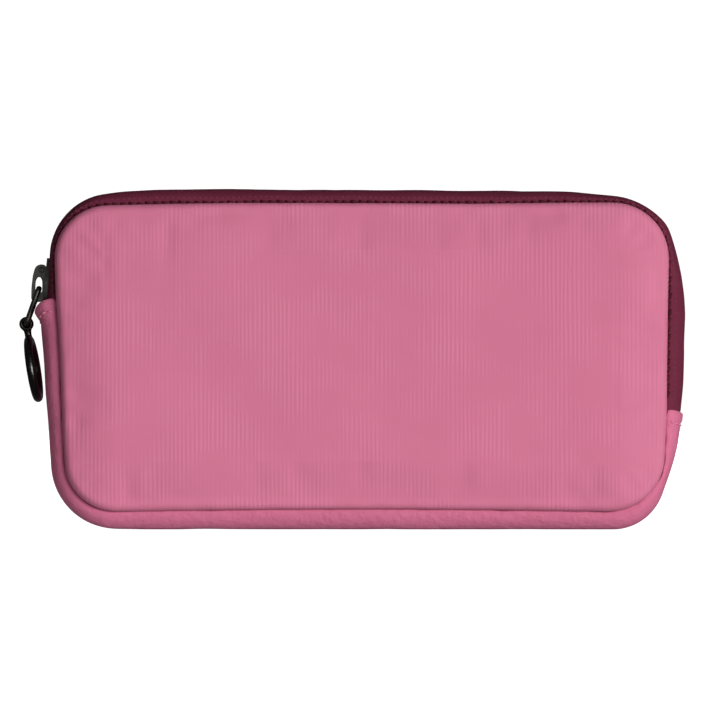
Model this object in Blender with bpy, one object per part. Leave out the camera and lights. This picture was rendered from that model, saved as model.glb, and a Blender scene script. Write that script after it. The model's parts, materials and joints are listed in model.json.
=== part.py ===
"""Zipped cable organizer pouch, 200 mm wide and 105 mm tall, standing on its bottom gusset.

The origin is at the bottom middle. +X is the pouch's right side, -Y its front, +Z up.
A padded front and back panel are sewn to a gusset, whose lower part is fabric and whose upper part is
the two halves of a zip. The zip's slider stands at the left end of the zip, with a link and a ring pull.
"""

import math

import bmesh
import bpy
from mathutils import Matrix, Vector

MM = 0.001
GAP = 0.3 * MM  # between pieces that touch on the real pouch

# Outlines seen from the front: corner name -> (centre x, centre z, radius).
SEAM = {
    "top_left": (-76 * MM, 82 * MM, 19.5 * MM),
    "top_right": (78 * MM, 84.5 * MM, 17 * MM),
    "bottom_right": (77 * MM, 23 * MM, 17.3 * MM),
    "bottom_left": (-77 * MM, 22 * MM, 16 * MM),
}
CROWN = {
    "top_left": (-73 * MM, 81.2 * MM, 23.6 * MM),
    "top_right": (77 * MM, 82 * MM, 22 * MM),
    "bottom_right": (76.5 * MM, 21 * MM, 21 * MM),
    "bottom_left": (-76.5 * MM, 20 * MM, 20 * MM),
}
CORNER_START = {"top_left": 180, "top_right": 90, "bottom_right": 0, "bottom_left": -90}
CORNER_STEPS = 7

# Panels: outer fabric, foam and lining, crowned outwards.
PANEL_EDGE_Y = 13.1 * MM
PANEL_CROWN = 5 * MM
CROWN_REACH = 14 * MM
PANEL_THICK = 0.8 * MM
FOAM_THICK = 2 * MM
LINING_THICK = 0.5 * MM
INNER_LAYER_INSET = 3 * MM

# Gusset and zip.
GUSSET_EDGE_Y = 12 * MM
GUSSET_FLAT_Y = 6 * MM
GUSSET_THICK = 0.9 * MM
LINING_EDGE_Y = 8.6 * MM
TAPE_THICK = 0.9 * MM
TAPE_INNER_Y = 0.8 * MM
COIL_WIDTH = 1.6 * MM
COIL_THICK = 1.3 * MM
LEFT_TAB_Z = 70 * MM
RIGHT_TAB_Z = 35.5 * MM
COIL_LEFT_Z = 65 * MM
COIL_RIGHT_Z = 31 * MM

# Fold line of the front panel, from one end of the zip to the other.
FOLD_LEFT = Vector((-97 * MM, 0, 71 * MM))
FOLD_RIGHT = Vector((97 * MM, 0, 36.5 * MM))
FOLD_Y = -18.3 * MM

# Bound seam allowances inside the edges.
BINDING_INSET = (1.5 * MM, 6 * MM)
BINDING_Y = (9.4 * MM, 10.9 * MM)

# Pocket and elastic on the back wall.
WALL_Y = 13.8 * MM
POCKET_HALF_WIDTH = 70 * MM
POCKET_BOTTOM = 20.5 * MM
POCKET_TOP = 60 * MM
POCKET_FRONT_Y = 6.6 * MM
POCKET_THICK = 0.8 * MM
HEM_HEIGHT = 6 * MM
LOOP_COUNT = 4
LOOP_WIDTH = 31 * MM
LOOP_FOOT = 5 * MM
LOOP_FRONT_Y = 6.7 * MM
ELASTIC_THICK = 1 * MM
ELASTIC_Z = (67 * MM, 85 * MM)

# Slider, seen from the side; outward distances are measured from the zip's crown line.
SLIDER_PIVOT = Vector((CROWN["top_left"][0], 0, CROWN["top_left"][1]))
ZIP_LEFT_X = CROWN["top_left"][0] - CROWN["top_left"][2]
SLIDER_Z = (70.6 * MM, 84.3 * MM)
TOP_PLATE = (0.3 * MM, 1.6 * MM)
BOTTOM_PLATE = (-5.5 * MM, -4.6 * MM)
BOTTOM_PLATE_Z = (72.6 * MM, 83.6 * MM)
NECK_Z = (72.6 * MM, 75.6 * MM)
NECK_HALF_WIDTH = 0.5 * MM
CAP_HALF_WIDTH = 1.7 * MM
CAP_BASE = TOP_PLATE[1] + GAP
CAP_TOP = 5.9 * MM
WINDOW_OUT = (2.5 * MM, 4.5 * MM)
WINDOW_Z = (73.6 * MM, 78.1 * MM)

# Link and ring pull.
LINK_TOP = Vector((-100.1 * MM, 0, 74.8 * MM))
EYE = Vector((-104 * MM, 0, 63.8 * MM))
LINK_WIRE = 0.75 * MM
LINK_HALF_WIDTH = 2.9 * MM
LINK_CORNER = 1.2 * MM
EYE_OUTER = 2.4 * MM
EYE_HOLE = 1.1 * MM
EYE_HALF_WIDTH = 1.4 * MM
NECK_RADIUS = 1.1 * MM
RING_RADIUS = 9.15 * MM
RING_WIRE = 1.35 * MM
RING_LEAN = math.radians(9)
RING_TWIST = math.radians(4)
RING_DROP = 14.1 * MM


def clear_scene():
    for obj in list(bpy.data.objects):
        bpy.data.objects.remove(obj, do_unlink=True)


def material(name, colour, roughness, metallic=0.0):
    mat = bpy.data.materials.new(name)
    mat.use_nodes = True
    shader = mat.node_tree.nodes["Principled BSDF"]
    shader.inputs["Base Color"].default_value = (*colour, 1)
    shader.inputs["Roughness"].default_value = roughness
    shader.inputs["Metallic"].default_value = metallic
    return mat


def axis_empty(name, location, parent=None):
    """An empty on a joint's axis, which the pieces of its body hang from."""
    empty = bpy.data.objects.new(name, None)
    bpy.context.collection.objects.link(empty)
    empty.parent = parent
    empty.location = location - (parent.matrix_world.translation if parent else Vector())
    bpy.context.view_layer.update()
    return empty


def finish(name, bm, mat, axis=None, smooth=False):
    """Turn a bmesh in world coordinates into an object, with its origin on its body's axis."""
    bmesh.ops.recalc_face_normals(bm, faces=bm.faces[:])
    mesh = bpy.data.meshes.new(name)
    if axis:
        bm.transform(Matrix.Translation(-axis.matrix_world.translation))
    bm.to_mesh(mesh)
    bm.free()
    mesh.materials.append(mat)
    if smooth:
        mesh.shade_smooth()
        mesh.set_sharp_from_angle(angle=math.radians(40))
    obj = bpy.data.objects.new(name, mesh)
    bpy.context.collection.objects.link(obj)
    obj.parent = axis
    return obj


def loft(bm, rings, closed_path=False):
    """Join rings of points, each a closed section, into a solid; an open path gets strip caps."""
    rows = [[bm.verts.new(point) for point in ring] for ring in rings]
    count = len(rows[0])
    pairs = list(zip(rows, rows[1:]))
    if closed_path:
        pairs.append((rows[-1], rows[0]))
    for low, high in pairs:
        for i in range(count):
            j = (i + 1) % count
            bm.faces.new((low[i], low[j], high[j], high[i]))
    if not closed_path:
        for row in (rows[0], rows[-1]):
            for i in range(count // 2 - 1):
                bm.faces.new((row[i], row[i + 1], row[count - 2 - i], row[count - 1 - i]))


def prism(bm, section, span, place):
    """Extrude a flat section between two distances; place turns (a, b, distance) into a point."""
    low = [bm.verts.new(place(a, b, span[0])) for a, b in section]
    high = [bm.verts.new(place(a, b, span[1])) for a, b in section]
    bm.faces.new(low)
    bm.faces.new(high)
    for i in range(len(section)):
        j = (i + 1) % len(section)
        bm.faces.new((low[i], low[j], high[j], high[i]))


# ---- outlines ----

def corner_points(corners, name, inset=0.0):
    """Points (x, z) along one rounded corner, clockwise from the front, with their directions."""
    x, z, radius = corners[name]
    points = []
    for step in range(CORNER_STEPS + 1):
        angle = math.radians(CORNER_START[name] - 90 * step / CORNER_STEPS)
        out = Vector((math.cos(angle), math.sin(angle)))
        points.append((Vector((x, z)) + out * (radius - inset), out))
    return points


def outline(corners, inset=0.0):
    return [point for name in corners for point, _ in corner_points(corners, name, inset)]


def corner_stations(name):
    """Stations of the gusset around one corner: seam point, crown point, outward direction."""
    seam = corner_points(SEAM, name)
    crown = corner_points(CROWN, name)
    return [(s, c, out) for (s, out), (c, _) in zip(seam, crown)]


def side_x(corners, side, z):
    """Distance from the middle to one side of an outline at a height."""
    top, bottom = corners["top_" + side], corners["bottom_" + side]
    sign = 1 if side == "right" else -1
    high, low = top[0] * sign + top[2], bottom[0] * sign + bottom[2]
    share = (z - bottom[1]) / (top[1] - bottom[1])
    return low + (high - low) * share


def side_station(side, z, crown_x):
    sign = 1 if side == "right" else -1
    seam = Vector((sign * side_x(SEAM, side, z), z))
    return seam, Vector((sign * crown_x, z)), Vector((sign, 0))


def bulge(y):
    """How far the gusset stands from its seam towards its crown, from 0 to 1, across its width."""
    over = max(0.0, abs(y) - GUSSET_FLAT_Y) / (GUSSET_EDGE_Y - GUSSET_FLAT_Y)
    return 1.0 - over ** 2.2


def section_depths(low, high):
    """Depths at which a gusset strip's section has a point."""
    inner = [y * MM for y in (-10.6, -9, -7.5, -6, 6, 7.5, 9, 10.6)]
    return [low] + [y for y in inner if low + GAP < y < high - GAP] + [high]


def strip(name, stations, depths, below, thick, mat, axis=None, folds=()):
    """A strip of the gusset: its outer face lies `below` under the gusset's outer surface.

    Folds gives how much thicker the strip's middle is at some of its stations, by their number.
    """
    folds = dict(folds)
    rings = []
    for number, (seam, crown, out) in enumerate(stations):
        outer, inner = [], []
        for y in depths:
            flat = seam.lerp(crown, bulge(y)) - out * below
            deep = flat - out * (thick + folds.get(number, 0.0) * bulge(y))
            outer.append((flat.x, y, flat.y))
            inner.append((deep.x, y, deep.y))
        rings.append(outer + inner[::-1])
    bm = bmesh.new()
    loft(bm, rings)
    return finish(name, bm, mat, axis)


# ---- panels ----

def panel_y(inset):
    """Distance of a panel's outer face from the middle of the pouch, at an inset from the seam."""
    share = min(inset / CROWN_REACH, 1.0)
    return PANEL_EDGE_Y + PANEL_CROWN * (1.0 - (1.0 - share) ** 2.5)


def cut_at_fold(bm, keep):
    """Keep what lies above or below the fold line, with half the gap taken off."""
    along = (FOLD_RIGHT - FOLD_LEFT).normalized()
    up = Vector((0, -1, 0)).cross(along)
    sign = 1 if keep == "above" else -1
    bmesh.ops.bisect_plane(
        bm,
        geom=bm.verts[:] + bm.edges[:] + bm.faces[:],
        plane_co=FOLD_LEFT + up * (sign * GAP / 2),
        plane_no=up,
        clear_outer=sign < 0,
        clear_inner=sign > 0,
    )
    bmesh.ops.holes_fill(bm, edges=[e for e in bm.edges if e.is_boundary])


def panel_layer(name, side, below, thick, first_inset, mat, keep=None, axis=None):
    """One layer of a panel: a crowned plate whose outer face lies `below` under the panel's."""
    insets = [first_inset] + [i * MM for i in (1.5, 3, 5.5, 9) if i * MM > first_inset] + [CROWN_REACH]
    bm = bmesh.new()
    faces = []
    for depth in (below, below + thick):
        rings = []
        for inset in insets:
            y = side * (panel_y(inset) - depth)
            rings.append([bm.verts.new((p.x, y, p.y)) for p in outline(SEAM, inset)])
        for low, high in zip(rings, rings[1:]):
            for i in range(len(low)):
                j = (i + 1) % len(low)
                bm.faces.new((low[i], low[j], high[j], high[i]))
        bm.faces.new(rings[-1])
        faces.append(rings[0])
    for i in range(len(faces[0])):
        j = (i + 1) % len(faces[0])
        bm.faces.new((faces[0][i], faces[0][j], faces[1][j], faces[1][i]))
    if keep:
        cut_at_fold(bm, keep)
    return finish(name, bm, mat, axis)


def panel(prefix, suffix, side, mats, keep=None, axis=None):
    """Outer fabric, foam and lining of one panel."""
    foam_below = PANEL_THICK + GAP
    lining_below = foam_below + FOAM_THICK + GAP
    panel_layer(f"{prefix}_panel{suffix}", side, 0.0, PANEL_THICK, 0.0, mats["shell"], keep, axis)
    panel_layer(
        f"{prefix}_foam{suffix}", side, foam_below, FOAM_THICK, INNER_LAYER_INSET, mats["foam"], keep, axis
    )
    panel_layer(
        f"{prefix}_lining{suffix}", side, lining_below, LINING_THICK, INNER_LAYER_INSET, mats["lining"], keep, axis
    )


def seam_binding(name, side, mat, keep=None, axis=None):
    """The seam allowance inside an edge, wrapped in binding."""
    corners = [
        (BINDING_INSET[0], BINDING_Y[0]),
        (BINDING_INSET[0], BINDING_Y[1]),
        (BINDING_INSET[1], BINDING_Y[1]),
        (BINDING_INSET[1], BINDING_Y[0]),
    ]
    loops = [[(p.x, side * y, p.y) for p in outline(SEAM, inset)] for inset, y in corners]
    bm = bmesh.new()
    loft(bm, list(zip(*loops)), closed_path=True)
    if keep:
        cut_at_fold(bm, keep)
    return finish(name, bm, mat, axis)


# ---- gusset and zip ----

def gusset_stations():
    """From the left tab down, along the bottom and up to the right tab."""
    left = ((LEFT_TAB_Z, 100.4 * MM), (66 * MM, 99.5 * MM), (61 * MM, 98.4 * MM), (44 * MM, 97.5 * MM))
    right = ((28 * MM, 98.8 * MM), (RIGHT_TAB_Z, 100.2 * MM))
    return (
        [side_station("left", z, x) for z, x in left]
        + corner_stations("bottom_left")[::-1]
        + corner_stations("bottom_right")[::-1]
        + [side_station("right", z, x) for z, x in right]
    )


def zip_stations(left_z, right_z):
    """From the zip's left end up, along the top and down to its right end, where it draws in."""
    widest, right_x, draw_in = 46 * MM, 98.8 * MM, 0.07
    end_x = right_x - draw_in * (widest - right_z)
    return (
        [side_station("left", left_z, -ZIP_LEFT_X)]
        + corner_stations("top_left")
        + corner_stations("top_right")
        + [side_station("right", widest, right_x), side_station("right", right_z, end_x)]
    )


def zip_half(prefix, side, mats, axis=None):
    """One zip tape and the coil on its inner face."""
    stations = zip_stations(LEFT_TAB_Z + GAP, RIGHT_TAB_Z + GAP)
    edges = sorted((side * TAPE_INNER_Y, side * GUSSET_EDGE_Y))
    strip(f"{prefix}_zip_tape", stations, section_depths(*edges), 0.0, TAPE_THICK, mats["tape"], axis)
    stations = zip_stations(COIL_LEFT_Z, COIL_RIGHT_Z)
    rows = sorted((side * TAPE_INNER_Y, side * (TAPE_INNER_Y + COIL_WIDTH)))
    below = TAPE_THICK + GAP / 2
    strip(f"{prefix}_zip_coil", stations, rows, below, COIL_THICK, mats["coil"], axis)


def gusset(mats):
    stations = gusset_stations()
    depths = section_depths(-GUSSET_EDGE_Y, GUSSET_EDGE_Y)
    folds = {0: 2.4 * MM, 1: 1.1 * MM, len(stations) - 1: 0.8 * MM}
    strip("bottom_gusset", stations, depths, 0.0, GUSSET_THICK, mats["gusset"], folds=folds)
    depths = section_depths(-LINING_EDGE_Y, LINING_EDGE_Y)
    strip("gusset_lining", stations[3:-2], depths, GUSSET_THICK + GAP, LINING_THICK, mats["lining"])


# ---- inside ----

def mesh_pocket(mats):
    """A mesh pocket on the back wall: a front sheet whose sides and bottom turn back to the wall."""
    back, front = WALL_Y, POCKET_FRONT_Y
    outer_x, inner_x = POCKET_HALF_WIDTH, POCKET_HALF_WIDTH - POCKET_THICK
    bm = bmesh.new()
    section = [
        (-outer_x, back),
        (-outer_x + POCKET_THICK * 2, front),
        (outer_x - POCKET_THICK * 2, front),
        (outer_x, back),
        (inner_x, back),
        (inner_x - POCKET_THICK * 2, front + POCKET_THICK),
        (-inner_x + POCKET_THICK * 2, front + POCKET_THICK),
        (-inner_x, back),
    ]
    floor_z = POCKET_BOTTOM + POCKET_THICK
    low = [bm.verts.new((x, y, POCKET_BOTTOM)) for x, y in section[:4]]
    outer_top = [bm.verts.new((x, y, POCKET_TOP)) for x, y in section[:4]]
    floor = [bm.verts.new((x, y, floor_z)) for x, y in section[4:]]
    inner_top = [bm.verts.new((x, y, POCKET_TOP)) for x, y in section[4:]]
    bm.faces.new(low)
    bm.faces.new(floor)
    for i in range(3):
        bm.faces.new((low[i], low[i + 1], outer_top[i + 1], outer_top[i]))
        bm.faces.new((floor[i], floor[i + 1], inner_top[i + 1], inner_top[i]))
        bm.faces.new((outer_top[i], outer_top[i + 1], inner_top[2 - i], inner_top[3 - i]))
    bm.faces.new((low[0], outer_top[0], inner_top[3], floor[3], floor[0], inner_top[0], outer_top[3], low[3]))
    return finish("mesh_pocket", bm, mats["mesh"])


def pocket_hem(mats):
    """Elastic edge across the mouth of the pocket."""
    half = POCKET_HALF_WIDTH - 4 * POCKET_THICK
    near = POCKET_FRONT_Y - GAP
    base = POCKET_TOP + GAP
    outline_yz = [(near - POCKET_THICK, base - HEM_HEIGHT), (near, base - HEM_HEIGHT), (near, base)]
    outline_yz += [(near + 1.2 * MM, base), (near + 1.2 * MM, base + POCKET_THICK)]
    outline_yz += [(near - POCKET_THICK, base + POCKET_THICK)]
    bm = bmesh.new()
    prism(bm, outline_yz, (-half, half), lambda y, z, x: (x, y, z))
    return finish("pocket_hem", bm, mats["elastic"])


def cable_elastic(mats):
    """Elastic strip stitched down between its loops, each loop a tunnel for a coiled cable."""
    pitch = LOOP_WIDTH + LOOP_FOOT
    start = -(LOOP_COUNT * pitch + LOOP_FOOT) / 2
    slope = 2 * MM
    near = [(start, WALL_Y - ELASTIC_THICK)]
    for n in range(LOOP_COUNT):
        left = start + LOOP_FOOT + n * pitch
        right = left + LOOP_WIDTH
        near += [(left, WALL_Y - ELASTIC_THICK), (left + slope, LOOP_FRONT_Y)]
        near += [(right - slope, LOOP_FRONT_Y), (right, WALL_Y - ELASTIC_THICK)]
    near.append((-start, WALL_Y - ELASTIC_THICK))
    far = [(start, WALL_Y)]
    for n in range(LOOP_COUNT):
        left = start + LOOP_FOOT + n * pitch
        right = left + LOOP_WIDTH
        far += [(left + ELASTIC_THICK, WALL_Y), (left + slope + ELASTIC_THICK, LOOP_FRONT_Y + ELASTIC_THICK)]
        far += [(right - slope - ELASTIC_THICK, LOOP_FRONT_Y + ELASTIC_THICK), (right - ELASTIC_THICK, WALL_Y)]
    far.append((-start, WALL_Y))
    rings = []
    for (x, y), (fx, fy) in zip(near, far):
        rings.append([(x, y, ELASTIC_Z[0]), (x, y, ELASTIC_Z[1]), (fx, fy, ELASTIC_Z[1]), (fx, fy, ELASTIC_Z[0])])
    bm = bmesh.new()
    loft(bm, rings)
    return finish("cable_elastic", bm, mats["elastic"])


# ---- slider, link and ring ----

def side_view(out, z, y):
    """A slider point from its outward distance, its height and its depth."""
    return (ZIP_LEFT_X - out, y, z)


def slider_body(mats, axis):
    """Two plates joined by the neck that runs between the coils."""
    low, high = SLIDER_Z
    shoulder, tail, round_off = 4.2 * MM, 3.2 * MM, 1.2 * MM
    plate = [
        (-shoulder + round_off, low), (shoulder - round_off, low), (shoulder, low + round_off),
        (shoulder, low + 5 * MM), (tail, high - round_off), (tail - round_off, high),
        (-tail + round_off, high), (-tail, high - round_off), (-shoulder, low + 5 * MM),
        (-shoulder, low + round_off),
    ]
    bm = bmesh.new()
    prism(bm, plate, TOP_PLATE, lambda y, z, out: side_view(out, z, y))
    body = finish("slider_body", bm, mats["metal"], axis)

    middle = (BOTTOM_PLATE[0] + BOTTOM_PLATE[1]) / 2
    scale = (BOTTOM_PLATE_Z[1] - BOTTOM_PLATE_Z[0]) / (high - low)
    inner_plate = [(y, BOTTOM_PLATE_Z[0] + (z - low) * scale) for y, z in plate]
    bm = bmesh.new()
    prism(bm, inner_plate, BOTTOM_PLATE, lambda y, z, out: side_view(out, z, y))
    lower = finish("slider_inner_plate", bm, mats["metal"], axis)

    wedge = [
        (-NECK_HALF_WIDTH, NECK_Z[1]), (-NECK_HALF_WIDTH, NECK_Z[0] + 0.6 * MM), (0, NECK_Z[0]),
        (NECK_HALF_WIDTH, NECK_Z[0] + 0.6 * MM), (NECK_HALF_WIDTH, NECK_Z[1]), (0, NECK_Z[1] + 0.6 * MM),
    ]
    bm = bmesh.new()
    neck_span = (middle, (TOP_PLATE[0] + TOP_PLATE[1]) / 2)
    prism(bm, wedge, neck_span, lambda y, z, out: side_view(out, z, y))
    neck = finish("slider_neck", bm, mats["metal"], axis)
    unite(body, [neck, lower])
    return body


def unite(body, others):
    """Boolean unions of helper solids into one body."""
    for other in others:
        other.hide_render = True
        other.display_type = "WIRE"
        union = body.modifiers.new("join_" + other.name, "BOOLEAN")
        union.operation = "UNION"
        union.solver = "EXACT"
        union.object = other


def slider_cap(mats, axis):
    """The crown over the slider, an arch whose window holds the link."""
    low, high = SLIDER_Z[0], 82.2 * MM
    base, top = CAP_BASE, CAP_TOP
    arch = [
        (base, low + 0.2 * MM), (top - 1.0 * MM, low - 0.1 * MM), (top, low + 0.9 * MM),
        (top - 0.1 * MM, 75 * MM), (top - 0.5 * MM, 79 * MM), (top - 1.1 * MM, 81.2 * MM),
        (top - 2.1 * MM, high), (base + 0.7 * MM, high), (base, high - 0.7 * MM),
    ]
    near, far = WINDOW_OUT
    bottom, ceiling, cut = WINDOW_Z[0], WINDOW_Z[1], 0.5 * MM
    window = [
        (near + cut, bottom), (far - cut, bottom), (far, bottom + cut), (far - 0.2 * MM, ceiling - cut),
        (far - cut - 0.3 * MM, ceiling), (near + cut, ceiling), (near, ceiling - cut), (near, bottom + cut),
    ]
    span = (-CAP_HALF_WIDTH, CAP_HALF_WIDTH)
    bm = bmesh.new()
    prism(bm, arch, span, lambda out, z, y: side_view(out, z, y))
    cap = finish("slider_cap", bm, mats["metal"], axis)
    bm = bmesh.new()
    wide = (span[0] - 1 * MM, span[1] + 1 * MM)
    prism(bm, window, wide, lambda out, z, y: side_view(out, z, y))
    cutter = finish("cap_window", bm, mats["metal"], axis)
    cutter.hide_render = True
    cutter.display_type = "WIRE"
    cut_out = cap.modifiers.new("window", "BOOLEAN")
    cut_out.operation = "DIFFERENCE"
    cut_out.solver = "EXACT"
    cut_out.object = cutter
    return cap


def tube_loop(bm, path, radius, sides):
    """A round wire along a closed flat path."""
    count = len(path)
    normal = (path[count // 3] - path[0]).cross(path[2 * count // 3] - path[0]).normalized()
    rings = []
    for i, point in enumerate(path):
        ahead, behind = path[(i + 1) % count], path[i - 1]
        across_wire = (ahead - behind).normalized().cross(normal)
        ring = []
        for side in range(sides):
            angle = 2 * math.pi * side / sides
            ring.append(point + (across_wire * math.cos(angle) + normal * math.sin(angle)) * radius)
        rings.append(ring)
    loft(bm, rings, closed_path=True)


def pull_link(mats, axis):
    """A closed wire link through the slider's window and the ring's eye."""
    down = (EYE - LINK_TOP).normalized()
    length = (EYE - LINK_TOP).length
    depth = Vector((0, 1, 0))
    straight = LINK_HALF_WIDTH - LINK_CORNER
    path = []
    for sign_y, sign_d, start in ((1, 1, 0), (-1, 1, 90), (-1, -1, 180), (1, -1, 270)):
        centre_d = length - LINK_CORNER if sign_d > 0 else LINK_CORNER
        for step in range(4):
            angle = math.radians(start + 30 * step)
            y = sign_y * straight + LINK_CORNER * math.cos(angle)
            d = centre_d + LINK_CORNER * math.sin(angle)
            path.append(LINK_TOP + down * d + depth * y)
    bm = bmesh.new()
    tube_loop(bm, path, LINK_WIRE, 8)
    return finish("pull_link", bm, mats["metal"], axis, smooth=True)


def ring_pull(mats, axis):
    """Ring, neck and eye in one casting; the eye is turned a quarter turn from the ring."""
    down = Vector((math.sin(RING_LEAN), 0, -math.cos(RING_LEAN)))
    centre = EYE + down * RING_DROP
    level = Matrix.Rotation(RING_TWIST, 3, down) @ Vector((0, 1, 0))
    circle = []
    for step in range(30):
        angle = 2 * math.pi * step / 30
        circle.append(centre + (down * math.cos(angle) + level * math.sin(angle)) * RING_RADIUS)
    bm = bmesh.new()
    tube_loop(bm, circle, RING_WIRE, 10)
    ring = finish("ring_pull", bm, mats["dark_metal"], axis, smooth=True)

    rings = []
    for step in range(20):
        angle = 2 * math.pi * step / 20
        out = Vector((math.cos(angle), 0, math.sin(angle)))
        section = []
        for radius, y in (
            (EYE_HOLE, -EYE_HALF_WIDTH), (EYE_OUTER - 0.5 * MM, -EYE_HALF_WIDTH), (EYE_OUTER, -0.7 * EYE_HALF_WIDTH),
            (EYE_OUTER, 0.7 * EYE_HALF_WIDTH), (EYE_OUTER - 0.5 * MM, EYE_HALF_WIDTH), (EYE_HOLE, EYE_HALF_WIDTH),
        ):
            section.append(EYE + out * radius + Vector((0, y, 0)))
        rings.append(section)
    bm = bmesh.new()
    loft(bm, rings, closed_path=True)
    eye = finish("pull_eye", bm, mats["dark_metal"], axis)

    start, end = 1.6 * MM, RING_DROP - RING_RADIUS
    side = down.cross(Vector((0, 1, 0)))
    rings = []
    for distance, radius in ((start, NECK_RADIUS), (start + 1.2 * MM, 0.95 * NECK_RADIUS), (end, NECK_RADIUS)):
        ring_points = []
        for step in range(10):
            angle = 2 * math.pi * step / 10
            spoke = side * math.cos(angle) + Vector((0, 1, 0)) * math.sin(angle)
            ring_points.append(EYE + down * distance + spoke * radius)
        rings.append(ring_points)
    bm = bmesh.new()
    loft(bm, rings)
    neck = finish("pull_neck", bm, mats["dark_metal"], axis)
    unite(ring, [eye, neck])
    return ring


def build():
    clear_scene()
    mats = {
        "shell": material("ribbed_fabric", (0.62, 0.18, 0.30), 0.7),
        "gusset": material("gusset_fabric", (0.56, 0.14, 0.25), 0.55),
        "tape": material("zip_tape", (0.12, 0.02, 0.04), 0.75),
        "coil": material("zip_coil", (0.10, 0.015, 0.03), 0.45),
        "lining": material("lining", (0.30, 0.30, 0.32), 0.8),
        "foam": material("foam", (0.75, 0.74, 0.70), 0.95),
        "binding": material("binding", (0.14, 0.03, 0.05), 0.8),
        "mesh": material("mesh", (0.10, 0.10, 0.11), 0.8),
        "elastic": material("elastic", (0.05, 0.05, 0.055), 0.8),
        "metal": material("gunmetal", (0.10, 0.10, 0.095), 0.35, 1.0),
        "dark_metal": material("black_metal", (0.03, 0.03, 0.03), 0.3, 1.0),
    }
    flap = axis_empty("mouth_axis", (FOLD_LEFT + FOLD_RIGHT) / 2 + Vector((0, FOLD_Y, 0)))
    slider = axis_empty("slider_axis", SLIDER_PIVOT)
    pull = axis_empty("pull_axis", LINK_TOP, slider)
    ring = axis_empty("ring_axis", EYE, pull)

    panel("back", "", 1, mats)
    panel("front", "_lower", -1, mats, "below")
    panel("front", "_upper", -1, mats, "above", flap)
    seam_binding("back_seam_binding", 1, mats["binding"])
    seam_binding("front_seam_binding_lower", -1, mats["binding"], "below")
    seam_binding("front_seam_binding_upper", -1, mats["binding"], "above", flap)
    gusset(mats)
    zip_half("back", 1, mats)
    zip_half("front", -1, mats, flap)
    mesh_pocket(mats)
    pocket_hem(mats)
    cable_elastic(mats)
    slider_body(mats, slider)
    slider_cap(mats, slider)
    pull_link(mats, pull)
    ring_pull(mats, ring)


build()
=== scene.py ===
"""Looks of a zipped cable organizer pouch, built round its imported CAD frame.

Metres, +Z up, the pouch's front towards -Y, the origin under its middle. The pouch is a padded front
and back panel sewn to a gusset, whose lower part is fabric and whose upper part is the two zip tapes.
Sizes are in millimetres until they are multiplied by MM, which is done last. A "bulge" is a place
across the gusset: 0 on the seam, 1 on the gusset's crown.
"""

import json
import math

import bmesh
import bpy
import numpy as np
from mathutils import Matrix, Vector


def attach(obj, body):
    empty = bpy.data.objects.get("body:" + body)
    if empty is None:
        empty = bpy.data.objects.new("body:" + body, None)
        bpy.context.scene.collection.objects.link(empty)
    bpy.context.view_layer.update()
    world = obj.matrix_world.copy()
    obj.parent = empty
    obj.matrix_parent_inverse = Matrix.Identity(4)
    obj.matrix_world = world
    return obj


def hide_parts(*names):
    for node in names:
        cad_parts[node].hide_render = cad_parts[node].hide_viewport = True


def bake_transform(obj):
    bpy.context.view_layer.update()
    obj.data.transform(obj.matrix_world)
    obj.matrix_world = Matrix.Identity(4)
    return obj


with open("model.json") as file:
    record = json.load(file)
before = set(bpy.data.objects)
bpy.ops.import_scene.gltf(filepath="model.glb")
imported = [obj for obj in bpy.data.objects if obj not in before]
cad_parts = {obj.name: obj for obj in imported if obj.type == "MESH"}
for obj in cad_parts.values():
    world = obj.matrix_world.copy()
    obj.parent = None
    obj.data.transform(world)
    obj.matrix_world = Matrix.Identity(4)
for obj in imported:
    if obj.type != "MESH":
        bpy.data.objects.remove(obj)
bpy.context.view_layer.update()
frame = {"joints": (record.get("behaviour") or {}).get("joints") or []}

MM = 0.001
TURN = 2 * math.pi

# ---- driving sizes, in millimetres ----

# Seam between panel and gusset, seen from the front, clockwise from the middle of the bottom: the points
# (x, z) that its sides pass through, and its corners (centre x, centre z, radius, start angle).
SEAM_PARTS = (
    ("side", (0.0, 6.5), (-25.0, 6.4), (-55.0, 6.1)),
    ("corner", -76.0, 21.5, 15.8, 270),
    ("side", (-92.4, 32.0), (-92.9, 45.0), (-93.6, 60.0), (-94.5, 72.0)),
    ("corner", -78.7, 84.3, 16.2, 180),
    ("side", (-60.0, 100.95), (-38.0, 101.25), (0.0, 101.2), (35.0, 101.0), (63.0, 101.35)),
    ("corner", 78.0, 84.0, 17.4, 90),
    ("side", (95.1, 72.0), (94.8, 50.0), (94.7, 36.0)),
    ("corner", 76.8, 23.0, 17.3, 0),
    ("side", (45.0, 6.2), (15.0, 6.5)),
)
SEAM_STEP = 0.5

# Padded panels: their edge's distance from the pouch's middle, the rounding there, and the crown.
PANEL_EDGE_Y = 13.1
EDGE_ROUND = 2.2
EDGE_RISE = 2.5
CROWN_REACH = 14.0
CROWN_RISE = 1.9
PAD_THICK = 2.8
LINING_DEPTH = 3.5
LINING_THICK = 0.35
# The gusset's lining: half its width between the seams, its depth, and where it ends before the two tabs.
GUSSET_LINING_HALF = 9.5
GUSSET_LINING_DEPTH = 1.5
GUSSET_LINING_ENDS = (9.0, 11.0)
# Points along a panel's left, top, right and bottom.
PANEL_COUNTS = (60, 116, 60, 116)
# Inset from the seam and depth of the fabric rolled in behind a panel's edge.
ROLL = [(2.6, 11.4), (1.4, 10.8), (0.7, 10.7), (0.25, 10.9), (0.0, 11.5), (-0.05, 12.2), (-0.04, 12.7)]
FACE_INSETS = (0.0, 0.08, 0.25, 0.5, 0.85, 1.25, 1.7, 2.3, 3.2, 4.4, 6.0, 8.0, 10.8, 14.0)

# Cloth simulation of a panel's face.
CLOTH_FRAMES = 20
CLOTH_GRID = 4.0
HELD_INSET = 3.0
MOST_PUFF = 1.0

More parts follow.
